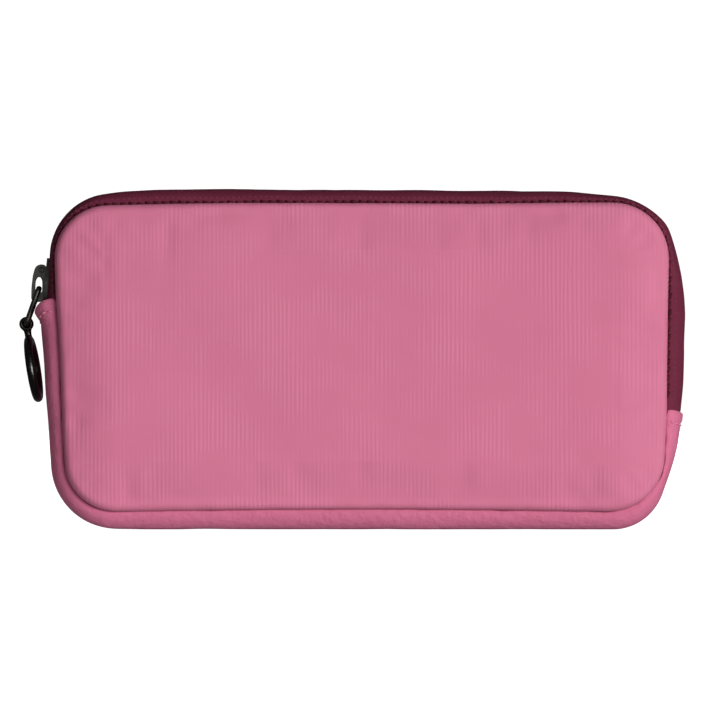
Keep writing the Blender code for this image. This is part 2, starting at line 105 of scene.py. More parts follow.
# Gusset: a bead along each seam, nearly flat between them. The bead starts at a negative angle.
GUSSET_EDGE_Y = 12.0
GUSSET_FLAT_Y = 4.5
BEAD_DEPTH = GUSSET_EDGE_Y - GUSSET_FLAT_Y
BEAD_START = -9.0
BEAD_LOW = math.sin(math.radians(BEAD_START))
SLIT_Y = 0.35
CLOTH_THICK = 0.6
FOLD_RADIUS = 0.75
FOLD_LENGTH = 2.4
FOLD_NARROW = 0.06

# The gusset's two ends, over the zip: their height at the seam, and how far they droop at the crown.
LEFT_TAB = {"z": 71.3, "droop": (0.4, 3.1)}
RIGHT_TAB = {"z": 37.0, "droop": (1.0, 0.4)}
TAB_STITCH_DROP = 3.2
TAB_STITCH_DENT = 0.45
TAB_STITCH_LIFT = 0.12
TAB_RETURN = 7.0
TAPE_HIDDEN = 6.0

COIL_PITCH = 1.3
COIL_WIRE = 0.27
COIL_HIDDEN = 5.0

# Length, radius and pitch of the stitches, and the bulge at which the zip tapes' two rows lie.
EDGE_STITCH = (2.5, 0.5, 2.55)
TAPE_STITCH = (0.9, 0.14, 1.7)
TAB_STITCH = (1.7, 0.34, 2.35)
BINDING_STITCH = (2.0, 0.16, 3.0)
FOOT_STITCH = (1.5, 0.17, 2.1)
EDGE_STITCH_BULGE = 0.07
TAPE_STITCH_BULGE = 0.42

# The back wall's inner face, and what is sewn to it.
WALL_Y = 13.8
POCKET_HALF = 69.5
POCKET_LOW, POCKET_HIGH = 20.8, 59.0
POCKET_ROUND = 5.0
HEM_LOW, HEM_HIGH = 54.6, 60.6
LOOP_PITCH = 36.0
LOOP_FOOT = 5.0
LOOP_COUNT = 4
LOOPS_START = -(LOOP_COUNT * LOOP_PITCH + LOOP_FOOT) / 2
LOOPS_LOW, LOOPS_HIGH = 67.0, 85.0

# Binding: its depth, its edge nearest the seam, and its width.
BINDING_Y = 10.1
BINDING_NEAR = 1.4
BINDING_WIDE = 4.6

# Slider, its crown's half width, the link round its corners, and the ring with its eye and neck.
ZIP_LEFT_X = -96.6
SLIDER_LEAN = math.radians(5)
SLIDER_MIDDLE = Vector((-97.6 * MM, 0, 77 * MM))
CROWN_HALF = 1.7
LINK_CORNER, LINK_HALF, LINK_WIRE = 1.2, 2.9, 0.85
RING_DROP, RING_RADIUS, RING_WIRE = 14.1, 9.15, 1.35
RING_LEAN, RING_TWIST = math.radians(9), math.radians(4)
EYE_RADIUS, EYE_WIRE, EYE_STRETCH = 1.55, 0.74, 1.9
NECK_START, NECK_LENGTH = 1.5, 3.7


# ---- curves in the front view ----

def unit(vectors):
    """Vectors of length 1 in the same directions."""
    return vectors / np.linalg.norm(vectors, axis=-1, keepdims=True)


def distances(points):
    """How far along a line each of its points lies."""
    return np.concatenate([[0], np.cumsum(np.linalg.norm(np.diff(points, axis=0), axis=1))])


def lookup(at, along, values, period=None):
    """Columns of values interpolated at distances along a line."""
    return np.stack([np.interp(at, along, column, period=period) for column in values.T], axis=-1)


def together(*parts):
    """Points or pairs from their coordinates, some of which may be one value for all."""
    return np.stack(np.broadcast_arrays(*parts), axis=-1)


def arc(x, z, radius, start, end, step=3.0):
    """Points on an arc, from one angle to another in degrees."""
    angles = np.radians(np.linspace(start, end, max(2, int(abs(end - start) / step) + 1)))
    return together(x + radius * np.cos(angles), z + radius * np.sin(angles))


def resample(points, closed=False):
    """Evenly spaced points along a line, the distance of each from its start, and the line's length."""
    if closed:
        points = np.vstack([points, points[:1]])
    lengths = distances(points)
    along = np.linspace(0, lengths[-1], int(round(lengths[-1] / SEAM_STEP)) + 1)
    even = lookup(along, lengths, points)
    return (even[:-1], along[:-1], lengths[-1]) if closed else (even, along, lengths[-1])


def soften(values, width, closed=False):
    """Gaussian smoothing of each column over a number of samples."""
    reach = int(width * 3) + 1
    kernel = np.exp(-0.5 * (np.arange(-reach, reach + 1) / width) ** 2)
    kernel /= kernel.sum()
    mode = "wrap" if closed else "edge"
    columns = [np.convolve(np.pad(column, reach, mode), kernel, "valid") for column in values.T]
    return np.stack(columns, axis=-1)


def seam_course():
    """The seam as a closed line, clockwise from the middle of the bottom, with outward directions."""
    parts = []
    for kind, *values in SEAM_PARTS:
        if kind == "corner":
            x, z, radius, start = values
            parts.append(arc(x, z, radius, start, start - 90))
        else:
            parts.append(values)
    line, _, _ = resample(np.vstack(parts), closed=True)
    line, along, length = resample(soften(line, 3, closed=True), closed=True)
    ahead = unit(np.roll(line, -1, axis=0) - np.roll(line, 1, axis=0))
    out = unit(soften(together(-ahead[:, 1], ahead[:, 0]), 5, closed=True))
    return {"line": line, "along": along, "length": length, "out": out}


def crown_line(parts):
    """A smooth open line through arcs and points."""
    line, _, _ = resample(np.vstack(parts))
    line[1:-1] = soften(line, 2)[1:-1]
    return line


# Silhouette of the zip tapes, from under the left tab round the top to under the right tab.
ZIP_CROWN = crown_line([
    [(-98.0, 58.0), (-97.8, 66.0), (-97.4, 71.0), (-96.9, 78.0)],
    arc(-76.9, 84.7, 19.7, 178, 97),
    [(-74.0, 105.0), (-64.0, 105.5), (-50.0, 105.65), (0.0, 105.4), (50.0, 105.1), (66.0, 104.8)],
    arc(76.4, 80.4, 23.3, 82, 36),
    [(96.1, 91.8), (97.3, 88.2), (98.5, 84.2), (99.6, 79.5), (100.2, 74.0), (100.6, 66.0)],
    [(100.5, 54.0), (99.9, 44.0), (99.2, 37.0), (98.6, 26.0)],
])

# Silhouette of the bottom gusset, from the right tab round the bottom to the left tab.
GUSSET_CROWN = crown_line([
    [(99.4, 42.0), (100.2, 36.0), (100.0, 33.8), (99.3, 32.0), (98.5, 27.0), (97.2, 22.0), (95.4, 16.0)],
    arc(78.6, 16.0, 16.0, -12, -90),
    [(40.0, 0.0), (0.0, 0.0), (-40.0, 0.0)],
    arc(-75.3, 21.0, 21.0, 270, 180),
    [(-96.8, 26.0), (-97.3, 36.0), (-98.1, 48.0), (-98.9, 57.0), (-99.3, 62.0)],
    [(-99.5, 64.6), (-100.4, 65.7), (-101.6, 66.9), (-101.8, 68.4), (-101.4, 75.0)],
])

SEAM = seam_course()


def rise_of(crown):
    """Distance from each seam point to the crown line along its outward direction."""
    start, step = crown[:-1], np.diff(crown, axis=0)
    rise = np.full(len(SEAM["line"]), np.nan)
    for i, (point, out) in enumerate(zip(SEAM["line"], SEAM["out"])):
        cross = out[0] * step[:, 1] - out[1] * step[:, 0]
        gap = start - point
        with np.errstate(divide="ignore", invalid="ignore"):
            reach = (gap[:, 0] * step[:, 1] - gap[:, 1] * step[:, 0]) / cross
            share = (gap[:, 0] * out[1] - gap[:, 1] * out[0]) / cross
        hit = (share >= 0) & (share <= 1) & (reach > 0.2) & (reach < 12)
        if hit.any():
            rise[i] = reach[hit].min()
    known = ~np.isnan(rise)
    rise = np.interp(SEAM["along"], SEAM["along"][known], rise[known], period=SEAM["length"])
    return soften(rise[:, None], 1.5, closed=True)


RISE = {"zip": rise_of(ZIP_CROWN), "gusset": rise_of(GUSSET_CROWN)}


def seam_at(s):
    """Seam points and outward directions at distances along the seam."""
    return [lookup(s, SEAM["along"], SEAM[key], SEAM["length"]) for key in ("line", "out")]


def rise_at(kind, s):
    """How far the crown stands out from the seam at distances along it."""
    return lookup(s, SEAM["along"], RISE[kind], SEAM["length"])[..., 0]


def seam_distance(side, z):
    """Distance along the seam at which it passes a height on the left or right side."""
    line = SEAM["line"]
    on_side = line[:, 0] * side > 60
    return SEAM["along"][on_side][np.abs(line[on_side][:, 1] - z).argmin()]


LEFT_END = seam_distance(-1, LEFT_TAB["z"])
RIGHT_END = seam_distance(1, RIGHT_TAB["z"])
# The same place as RIGHT_END, one turn earlier, so that the gusset runs from it to LEFT_END.
GUSSET_START = RIGHT_END - SEAM["length"]


def waves(a, b, size, seed):
    """Soft random relief of about -1 to 1 over a surface."""
    rng = np.random.default_rng(seed)
    total = np.zeros(np.broadcast(a, b).shape)
    for _ in range(7):
        angle, phase = rng.uniform(0, TURN, 2)
        k = TURN / size * rng.uniform(0.7, 1.4)
        total += np.cos(k * (a * math.cos(angle) + b * math.sin(angle)) + phase)
    return total / 4


# ---- gusset surfaces ----

def bulge_section(low, high, steps=15):
    """Depths and bulges of the points across a gusset strip, between two depths.

    Each half is a bead: it comes out of the seam's groove, is deepest a little outside it, and turns
    into the crown. What lies inside the seam has a bulge below 0.
    """
    phi = np.radians(np.linspace(BEAD_START, 90, steps))
    bead_y = GUSSET_FLAT_Y + BEAD_DEPTH * np.cos(phi)
    side_y = np.concatenate([[GUSSET_EDGE_Y - 2.2, GUSSET_EDGE_Y - 1.6], bead_y])
    side_b = np.concatenate([[-0.10, -0.05], (np.sin(phi) - BEAD_LOW) / (1 - BEAD_LOW)])
    y = np.concatenate([-side_y, [-3, -1.5, -SLIT_Y, SLIT_Y, 1.5, 3], side_y[::-1]])
    b = np.concatenate([side_b, np.ones(6), side_b[::-1]])
    keep = (y >= low - 1e-6) & (y <= high + 1e-6)
    return y[keep], b[keep]


def on_bead(bulge, side):
    """Depth of the bead's surface at a bulge, and the angle that its face is turned by."""
    angle = np.arcsin(np.clip(np.asarray(bulge) * (1 - BEAD_LOW) + BEAD_LOW, -1, 1))
    return side * (GUSSET_FLAT_Y + BEAD_DEPTH * np.cos(angle)), angle


def gusset_point(kind, s, y, bulge, below=0.0, ahead=0.0):
    """Points (metres) of a gusset surface; below is under the outer face, ahead is along the seam."""
    line, out = seam_at(s)
    over = rise_at(kind, s) * bulge - below
    x = line[..., 0] + out[..., 0] * over + out[..., 1] * ahead
    z = line[..., 1] + out[..., 1] * over - out[..., 0] * ahead
    return together(x, y, np.maximum(z, 0)) * MM


def pucker(kind, s, y, bulge):
    """Relief of a gusset strip: puckers at its seams and a soft unevenness."""
    near = np.exp(-np.clip(bulge, 0, 1) / 0.3)
    seed = 3 if kind == "zip" else 5
    return -waves(s, y * 0.3, 6.5, seed) * 0.22 * near - waves(s, y, 26, seed + 1) * 0.16


# ---- meshes ----

def link(obj):
    """Put an object into the scene."""
    bpy.context.scene.collection.objects.link(obj)
    return obj


def make_object(name, points, faces, mat=None, flat=None):
    """A smooth object from points and faces; flat holds each point's place on the flat cloth, in metres."""
    mesh = bpy.data.meshes.new(name)
    mesh.from_pydata([tuple(p) for p in points], [], [tuple(int(i) for i in f) for f in faces])
    if flat is not None:
        loops = np.zeros(len(mesh.loops), np.int32)
        mesh.loops.foreach_get("vertex_index", loops)
        layer = mesh.uv_layers.new(name="flat")
        layer.data.foreach_set("uv", np.asarray(flat, np.float32)[loops].ravel())
    if mat is not None:
        mesh.materials.append(mat)
    mesh.shade_smooth()
    mesh.update()
    return link(bpy.data.objects.new(name, mesh))


def grid_faces(rows, cols, first=0, rows_wrap=False, cols_wrap=False):
    """Quads over a grid of points; a direction that wraps joins its last points to its first."""
    faces = []
    for i in range(rows if rows_wrap else rows - 1):
        for k in range(cols if cols_wrap else cols - 1):
            corners = ((i, k), (i, k + 1), (i + 1, k + 1), (i + 1, k))
            faces.append(tuple(first + a % rows * cols + b % cols for a, b in corners))
    return faces


def reversed_faces(faces):
    """Faces that look the other way."""
    return [face[::-1] for face in faces]


def thicken(obj, thick, offset=-1.0):
    """Give a sheet its thickness; offset -1 puts it behind the sheet's face, 0 on both sides."""
    mod = obj.modifiers.new("thickness", "SOLIDIFY")
    mod.thickness = thick * MM
    mod.offset = offset
    mod.use_even_offset = False
    return obj


def outward(obj):
    """Turn a closed mesh's faces outwards."""
    bm = bmesh.new()
    bm.from_mesh(obj.data)
    bmesh.ops.recalc_face_normals(bm, faces=bm.faces[:])
    bm.to_mesh(obj.data)
    bm.free()
    return obj


def cloth_strip(name, grid, along, mat, thick, offset=-1.0, width=None):
    """A strip over a grid of points, which lie at distances along and across the flat strip."""
    if width is None:
        width = distances(grid[len(grid) // 2])
    flat = together(along * MM, width).reshape(-1, 2)
    faces = reversed_faces(grid_faces(*grid.shape[:2]))
    obj = make_object(name, grid.reshape(-1, 3), faces, mat, flat)
    return thicken(obj, thick, offset)


def rings_round(path, across, other, radius, sides):
    """A ring of points round each point of a line."""
    angle = np.linspace(0, TURN, sides, endpoint=False)[None, :, None]
    return path[:, None] + radius * (across[:, None] * np.cos(angle) + other[:, None] * np.sin(angle))


def tube_faces(rings, sides, first=0):
    """Faces of a tube of rings, closed at both ends."""
    last = first + (rings - 1) * sides
    ends = [tuple(range(first, first + sides)), tuple(range(last, last + sides))]
    return grid_faces(rings, sides, first, cols_wrap=True) + ends


def tube(name, centre, radius, sides, mat):
    """A closed-ended tube along a line of points, without twist."""
    ahead = unit(np.gradient(centre, axis=0))
    across = [np.cross(ahead[0], (0.0, 1.0, 0.0))]
    for direction in ahead[1:]:
        across.append(unit(across[-1] - direction * (across[-1] @ direction)))
    across = unit(np.array(across))
    rings = rings_round(centre, across, np.cross(ahead, across), radius, sides)
    return outward(make_object(name, rings.reshape(-1, 3), tube_faces(len(centre), sides), mat))


def join(objects, name):
    """Join objects into the first one, which keeps its materials."""
    bm = bmesh.new()
    for obj in objects:
        bm.from_mesh(obj.data)
    whole = objects[0]
    bm.to_mesh(whole.data)
    bm.free()
    whole.data.shade_smooth()
    for obj in objects[1:]:
        bpy.data.objects.remove(obj)
    whole.name = name
    return whole


def settle(obj):
    """Replace an object's mesh with what its modifiers make of it."""
    bpy.context.view_layer.update()
    graph = bpy.context.evaluated_depsgraph_get()
    mesh = bpy.data.meshes.new_from_object(obj.evaluated_get(graph))
    obj.modifiers.clear()
    obj.data = mesh
    return obj


# ---- materials ----

class Graph:
    """A material's node graph, built one node at a time."""

    def __init__(self, name):
        self.mat = bpy.data.materials.new(name)
        self.mat.use_nodes = True
        self.tree = self.mat.node_tree
        self.shader = self.tree.nodes["Principled BSDF"]

    def put(self, socket, value):
        if isinstance(value, bpy.types.NodeSocket):
            self.tree.links.new(value, socket)
        elif socket.type == "RGBA" and len(value) == 3:
            socket.default_value = (*value, 1)
        else:
            socket.default_value = value

    def add(self, kind, inputs=(), **settings):
        node = self.tree.nodes.new(kind)
        for key, value in settings.items():
            setattr(node, key, value)
        for key, value in dict(inputs).items():
            self.put(node.inputs[key], value)
        return node

    def math(self, operation, a, b=0.0, c=0.0, clamp=False):
        inputs = {0: a, 1: b, 2: c}
        return self.add("ShaderNodeMath", inputs, operation=operation, use_clamp=clamp).outputs[0]

    def product(self, a, b, clamp=False):
        return self.math("MULTIPLY", a, b, clamp=clamp)

    def plus(self, a, b, share):
        """a with a share of b added."""
        return self.math("ADD", a, self.product(b, share))

    def mix(self, share, a, b):
        inputs = {0: share, 6: a, 7: b}
        return self.add("ShaderNodeMix", inputs, data_type="RGBA").outputs[2]

    def flat(self):
        """The place on the flat cloth, in metres, as a vector and as two numbers."""
        uv = self.add("ShaderNodeUVMap", uv_map="flat").outputs[0]
        split = self.add("ShaderNodeSeparateXYZ", {0: uv})
        return uv, split.outputs[0], split.outputs[1]

    def object_place(self):
        return self.add("ShaderNodeTexCoord").outputs["Object"]

    def stretched(self, place, along):
        """A place whose pattern is drawn out along the cloth where the factor is small."""
        factors = {0: place, 1: (1.0, along, 1.0)}
        return self.add("ShaderNodeVectorMath", factors, operation="MULTIPLY").outputs[0]

    def noise(self, place, size, detail=3.0, roughness=0.5):
        inputs = {"Vector": place, "Scale": 1 / size, "Detail": detail, "Roughness": roughness}
        return self.add("ShaderNodeTexNoise", inputs).outputs["Fac"]

    def ridge(self, coordinate, pitch, phase=0.0):
        """A rounded ridge each pitch, from 0 to 1."""
        wave = self.math("SINE", self.math("MULTIPLY_ADD", coordinate, TURN / pitch, phase))
        return self.math("MULTIPLY_ADD", wave, 0.5, 0.5)

    def between(self, value, low, high, start=0.0, end=1.0):
        """Scale a value that runs from start to end to another range."""
        inputs = {"Value": value, "From Min": start, "From Max": end, "To Min": low, "To Max": high}
        return self.add("ShaderNodeMapRange", inputs).outputs[0]

    def bump(self, height, distance, strength):
        """A surface's relief; distance is how high it stands, in millimetres."""
        inputs = {"Height": height, "Distance": distance * MM, "Strength": strength}
        return self.add("ShaderNodeBump", inputs).outputs[0]

    def finish(self, colour, roughness, normal=None, specular=0.5, **more):
        """Wire the shader; more holds its other inputs by name."""
        inputs = {"Base Color": colour, "Roughness": roughness, "Specular IOR Level": specular, **more}
        if normal is not None:
            inputs["Normal"] = normal
        for key, value in inputs.items():
            self.put(self.shader.inputs[key], value)
        return self.mat


def panel_fabric():
    """Coated pink fabric with fine upright ribs, here strong and there faded, crossed by a faint weft, with
    painted shade in the grooves between the ribs.
    """
    g = Graph("ribbed_fabric")
    place, u, v = g.flat()
    pitch = 1.3 * MM
    wander = g.noise(g.stretched(place, 0.1), 5 * MM, 2.0)
    ribs = g.ridge(g.plus(u, wander, 1.3 * MM), pitch)
    faded = g.math("MAXIMUM", g.between(g.noise(place, 18 * MM, 2.0), -1.9, 3.1), 0.15)
    streak = g.noise(g.stretched(place, 0.12), 2.2 * MM, 2.0)
    strength = g.product(g.between(streak, 0.0, 1.7), faded, clamp=True)
    rib_height = g.product(ribs, strength)
    height = g.plus(rib_height, g.ridge(v, pitch / 2), 0.07)
    height = g.plus(height, g.ridge(u, pitch / 3), 0.08)
    height = g.plus(height, g.noise(place, 0.25 * MM, 2.0), 0.2)
    colour = g.mix(g.noise(place, 24 * MM), (0.548, 0.157, 0.260), (0.603, 0.184, 0.293))
    # Painted shade: the grooves between the ribs are mixed towards a darker pink.
    groove = g.product(g.math("SUBTRACT", 1.0, rib_height, clamp=True), 0.16)
    colour = g.mix(groove, colour, (0.40, 0.06, 0.13))
    roughness = g.between(g.noise(place, 4 * MM), 0.60, 0.72)
    return g.finish(colour, roughness, g.bump(height, 0.075, 0.8), specular=0.14)


def gusset_fabric():
    """Smooth pink coated fabric with a fine pebbled grain and soft creases."""
    g = Graph("gusset_fabric")
    place, _, _ = g.flat()
    cells = g.add("ShaderNodeTexVoronoi", {"Vector": place, "Scale": 1 / (0.7 * MM)}, feature="SMOOTH_F1")
    creases = g.noise(place, 2.6 * MM, 4.0, 0.55)
    height = g.plus(cells.outputs["Distance"], g.noise(place, 0.3 * MM, 2.0), 0.4)
    height = g.plus(height, creases, 16.0)
    colour = g.mix(g.noise(place, 15 * MM, 4.0), (0.510, 0.125, 0.223), (0.592, 0.156, 0.266))
    return g.finish(colour, g.between(creases, 0.50, 0.66), g.bump(height, 0.06, 0.6), specular=0.12)


def woven(name, dark, light, pitch, roughness, slant=0.0):
    """A plain weave of two near colours under a random tone, its hollows darker and its raised crossings
    lighter as painted shade; slant turns it into a twill.
    """
    g = Graph(name)
    place, u, v = g.flat()
    weft = g.ridge(g.plus(v, u, slant), pitch, 1.0)
    weave = g.product(g.ridge(u, pitch), weft)
    fuzz = g.noise(place, 0.35 * MM)
    # Painted shade: the weave's hollows take the dark colour and its raised crossings the light one, mixed
    # with a random tone.
    share = g.plus(g.product(weave, 0.55), g.noise(place, 8 * MM, 4.0), 0.45)
    roughness = g.between(fuzz, roughness - 0.08, roughness + 0.08)
    normal = g.bump(g.plus(weave, fuzz, 0.5), 0.05, 0.8)
    return g.finish(g.mix(share, dark, light), roughness, normal, specular=0.06)


def thread(name, dark, light):
    """Twisted sewing thread or coil filament."""
    g = Graph(name)
    strands = g.noise(g.object_place(), 0.12 * MM, 2.0)
    roughness = g.between(strands, 0.5, 0.75)
    return g.finish(g.mix(strands, dark, light), roughness, g.bump(strands, 0.03, 0.5), specular=0.2)


def elastic_fabric():
    """Black elastic with grooves along it, with painted shade in the grooves."""
    g = Graph("elastic")
    place, u, v = g.flat()
    ribs = g.ridge(v, 0.9 * MM)
    height = g.plus(ribs, g.ridge(u, 0.55 * MM), 0.3)
    fuzz = g.noise(place, 0.3 * MM)
    # Painted shade: the colour follows the ribs, darker in the grooves between them, with a random fuzz over
    # it.
    colour = g.mix(g.product(ribs, fuzz), (0.012, 0.011, 0.013), (0.05, 0.045, 0.05))
    more = {"Sheen Weight": 0.2}
    return g.finish(colour, g.between(fuzz, 0.7, 0.9), g.bump(height, 0.12, 0.9), **more)


def metal(name, dark, light, low, high):
    """Cast metal, a little uneven, with painted highlights that brighten its sharp edges."""
    g = Graph(name)
    place = g.object_place()
    cast = g.noise(place, 1.4 * MM, 5.0, 0.6)
    fine = g.noise(place, 0.18 * MM)
    # Painted highlight: sharp edges, found by their pointiness, are mixed towards a brighter colour.
    edge = g.add("ShaderNodeNewGeometry").outputs["Pointiness"]
    painted_edge_highlight = g.between(edge, 0.0, 1.0, 0.53, 0.62)
    highlight_colour = tuple(2.2 * channel for channel in light)
    colour = g.mix(g.product(painted_edge_highlight, 0.5), g.mix(cast, dark, light), highlight_colour)
    roughness = g.between(g.plus(g.product(cast, 0.6), fine, 0.4), low, high)
    normal = g.bump(g.plus(cast, fine, 0.3), 0.04, 0.5)
    return g.finish(colour, roughness, normal, Metallic=1.0)


def make_materials():
    """Every material by the piece or slot that it is for."""
    return {
        "shell": panel_fabric(),
        "gusset": gusset_fabric(),
        "zip_tape": woven("zip_tape", (0.105, 0.012, 0.032), (0.165, 0.030, 0.058), 0.55 * MM, 0.72, 0.5),
        "zip_coil": thread("zip_coil", (0.055, 0.006, 0.016), (0.12, 0.02, 0.04)),
        "thread": thread("maroon_thread", (0.028, 0.001, 0.004), (0.075, 0.003, 0.012)),
        "tape_thread": thread("tape_thread", (0.14, 0.03, 0.055), (0.20, 0.055, 0.085)),
        # Pink thread: the gusset's own pink, made lighter than that fabric as a painted highlight.
        "highlighted_pink_thread": thread("highlighted_pink_thread", (0.50, 0.13, 0.22), (0.70, 0.22, 0.33)),
        "lining": woven("lining", (0.13, 0.13, 0.14), (0.25, 0.25, 0.265), 0.4 * MM, 0.65),
        "binding": woven("binding", (0.05, 0.010, 0.020), (0.12, 0.028, 0.048), 0.5 * MM, 0.75),
        "mesh": woven("pocket_net", (0.015, 0.014, 0.016), (0.05, 0.048, 0.052), 0.3 * MM, 0.7),
        "elastic": elastic_fabric(),
        "gunmetal": metal("gunmetal", (0.045, 0.045, 0.041), (0.095, 0.095, 0.088), 0.26, 0.46),
        "black_metal": metal("black_metal", (0.022, 0.022, 0.021), (0.05, 0.05, 0.048), 0.18, 0.38),
    }


# ---- padded panels ----

def panel_stations():
    """Distances along the seam for a panel's rings, split at the middle of each corner."""
    turns = []
    for x, z, radius, start in [part[1:] for part in SEAM_PARTS if part[0] == "corner"]:
        angle = math.radians(start - 45)
        middle = np.array([x + radius * math.cos(angle), z + radius * math.sin(angle)])
        turns.append(SEAM["along"][np.linalg.norm(SEAM["line"] - middle, axis=1).argmin()])
    turns.append(turns[0] + SEAM["length"])
    spans = zip(turns, turns[1:], PANEL_COUNTS)
    return np.concatenate([np.linspace(start, end, count, endpoint=False) for start, end, count in spans])


STATIONS = panel_stations()


def panel_depth(inset):
    """Distance of a panel's outer face from the pouch's middle at an inset from the seam."""
    edge = 1 - np.clip(inset / EDGE_ROUND, 0, 1)
    crown = 1 - np.clip(inset / CROWN_REACH, 0, 1)
    return PANEL_EDGE_Y + EDGE_RISE * np.sqrt(1 - edge ** 2) + CROWN_RISE * (1 - crown ** 2)


def behind_face(insets, below):
    """(inset, depth) pairs of a layer that lies below a panel's outer face."""
    return [(inset, float(panel_depth(inset)) - below) for inset in insets]


def cap_ring(points, faces, first, depth):
    """Fill a ring of points with a grid at one depth that shares the ring's points."""
    a, b, c, d = PANEL_COUNTS
    count = len(STATIONS)
    index = np.zeros((a + 1, b + 1), int)
    index[:, 0] = np.arange(a + 1)
    index[-1] = a + np.arange(b + 1)
    index[::-1, -1] = a + b + np.arange(c + 1)
    index[0, ::-1] = (a + b + c + np.arange(d + 1)) % count
    ring = np.array(points[first: first + count])[:, [0, 2]]
    left, right, bottom, top = ring[index[:, 0]], ring[index[:, -1]], ring[index[0]], ring[index[-1]]
    u = np.linspace(0, 1, b + 1)[None, :, None]
    v = np.linspace(0, 1, a + 1)[:, None, None]
    across = (1 - u) * left[:, None] + u * right[:, None]
    upward = (1 - v) * bottom + v * top
    corners = (1 - v) * ((1 - u) * bottom[0] + u * bottom[-1]) + v * ((1 - u) * top[0] + u * top[-1])
    inner = (across + upward - corners)[1:-1, 1:-1].reshape(-1, 2)
    index += first
    index[1:-1, 1:-1] = len(points) + np.arange(len(inner)).reshape(a - 1, b - 1)
    points.extend(together(inner[:, 0], depth, inner[:, 1]))
    places = index.ravel()
    faces += [tuple(places[list(face)]) for face in grid_faces(a + 1, b + 1)]


def add_layer(points, faces, profile):
    """Rings of points at (inset, depth) pairs, joined, the last one filled; returns the first point."""
    line, out = seam_at(STATIONS)
    first, count = len(points), len(STATIONS)
    for inset, depth in profile:
        spots = line - out * inset
        points.extend(together(spots[:, 0], depth, spots[:, 1]))
    faces += grid_faces(len(profile), count, first, cols_wrap=True)
    cap_ring(points, faces, len(points) - count, profile[-1][1])
    return first


def puffed_face(slack):
    """Cloth simulation of a panel's face, held at its seam and pressed outwards by its foam.

    Returns the grid's x and z values and how far each of its points moves out, in millimetres.
    """
    x, z = np.arange(-104, 105, CLOTH_GRID), np.arange(-2, 111, CLOTH_GRID)
    spots = together(x[:, None], z).reshape(-1, 2)
    nearest = [np.hypot(*(SEAM["line"] - spot).T).argmin() for spot in spots]
    inset = -np.sum((spots - SEAM["line"][nearest]) * SEAM["out"][nearest], axis=1)
    start = together(spots[:, 0], panel_depth(np.clip(inset, 0, None)), spots[:, 1])
    face = make_object("face_trial", start * MM, reversed_faces(grid_faces(len(x), len(z))))
    if face.data.polygons[0].normal.y < 0:
        face.data.flip_normals()
    held = face.vertex_groups.new(name="held")
    held.add([i for i, gap in enumerate(inset) if gap < HELD_INSET], 1.0, "REPLACE")
    cloth = face.modifiers.new("cloth", "CLOTH")
    cloth.settings.quality = 8
    cloth.settings.mass = 0.25
    cloth.settings.vertex_group_mass = "held"
    cloth.settings.use_pressure = True
    cloth.settings.uniform_pressure_force = 4.0
    cloth.settings.shrink_min = -slack
    cloth.settings.effector_weights.gravity = 0.0
    cloth.point_cache.frame_start = 1
    cloth.point_cache.frame_end = CLOTH_FRAMES
    for step in range(1, CLOTH_FRAMES + 1):
        bpy.context.scene.frame_set(step)
    moved = face.evaluated_get(bpy.context.evaluated_depsgraph_get()).data
    end = np.array([tuple(v.co) for v in moved.vertices]) / MM
    bpy.data.objects.remove(face)
    bpy.context.scene.frame_set(1)
    out = MOST_PUFF * np.tanh((end[:, 1] - start[:, 1]) / MOST_PUFF)
    return x, z, out.reshape(len(x), len(z))


def puff_at(place, face):
    """The simulated face's movement at places in the front view."""
    x, z, out = face
    i = np.clip((place[:, 0] - x[0]) / CLOTH_GRID, 0, len(x) - 1.001)
    j = np.clip((place[:, 1] - z[0]) / CLOTH_GRID, 0, len(z) - 1.001)
    i_low, j_low = i.astype(int), j.astype(int)
    u, v = i - i_low, j - j_low
    u, v = u * u * (3 - 2 * u), v * v * (3 - 2 * v)
    low = out[i_low, j_low] * (1 - v) + out[i_low, j_low + 1] * v
    high = out[i_low + 1, j_low] * (1 - v) + out[i_low + 1, j_low + 1] * v
    return low * (1 - u) + high * u


def panel_cover(name, side, mats):
    """A padded panel: fabric over foam, rolled in at its seam, closed behind."""
    points, faces = [], []
    add_layer(points, faces, ROLL + behind_face(FACE_INSETS, 0.0))
    first = add_layer(points, faces, behind_face((5.0, 9.0, 14.0), PAD_THICK))
    count = len(STATIONS)
    faces += [(first + i, first + (i + 1) % count, (i + 1) % count, i) for i in range(count)]
    points = np.array(points)
    place = points[:, [0, 2]]
    edge = np.array([np.hypot(*(SEAM["line"] - spot).T).min() for spot in place])
    relief = waves(*place.T, 55, 11) * 0.22 * np.clip(edge / 8, 0, 1)
    relief += waves(*place.T, 7, 12) * 0.20 * np.exp(-edge / 2.5)
    relief += puff_at(place, puffed_face(0.004 if side < 0 else 0.006))
    points[:, 1] = (points[:, 1] + relief) * side
    return outward(make_object(name, points * MM, faces, mats["shell"], place * MM))


# ---- strips round the gusset ----

def rows_between(first, last, rows):
    """Distances along the seam in rows, from one edge of a strip to its other edge."""
    return first + (last - first) * np.linspace(0, 1, rows)[:, None]


def tab_droop(tab, bulge):
    """How far along the gusset a tab's edge hangs back from its place at the seam."""
    even, late = tab["droop"]
    share = np.clip(bulge, 0, 1)
    return even * share + late * share ** 5


def stitch_dent(from_edge, bulge):
    """Depth of the groove that a stitch row presses into a hem."""
    groove = np.exp(-((from_edge - TAB_STITCH_DROP) / 0.6) ** 2)
    return TAB_STITCH_DENT * groove * np.clip(bulge, 0.15, 1)


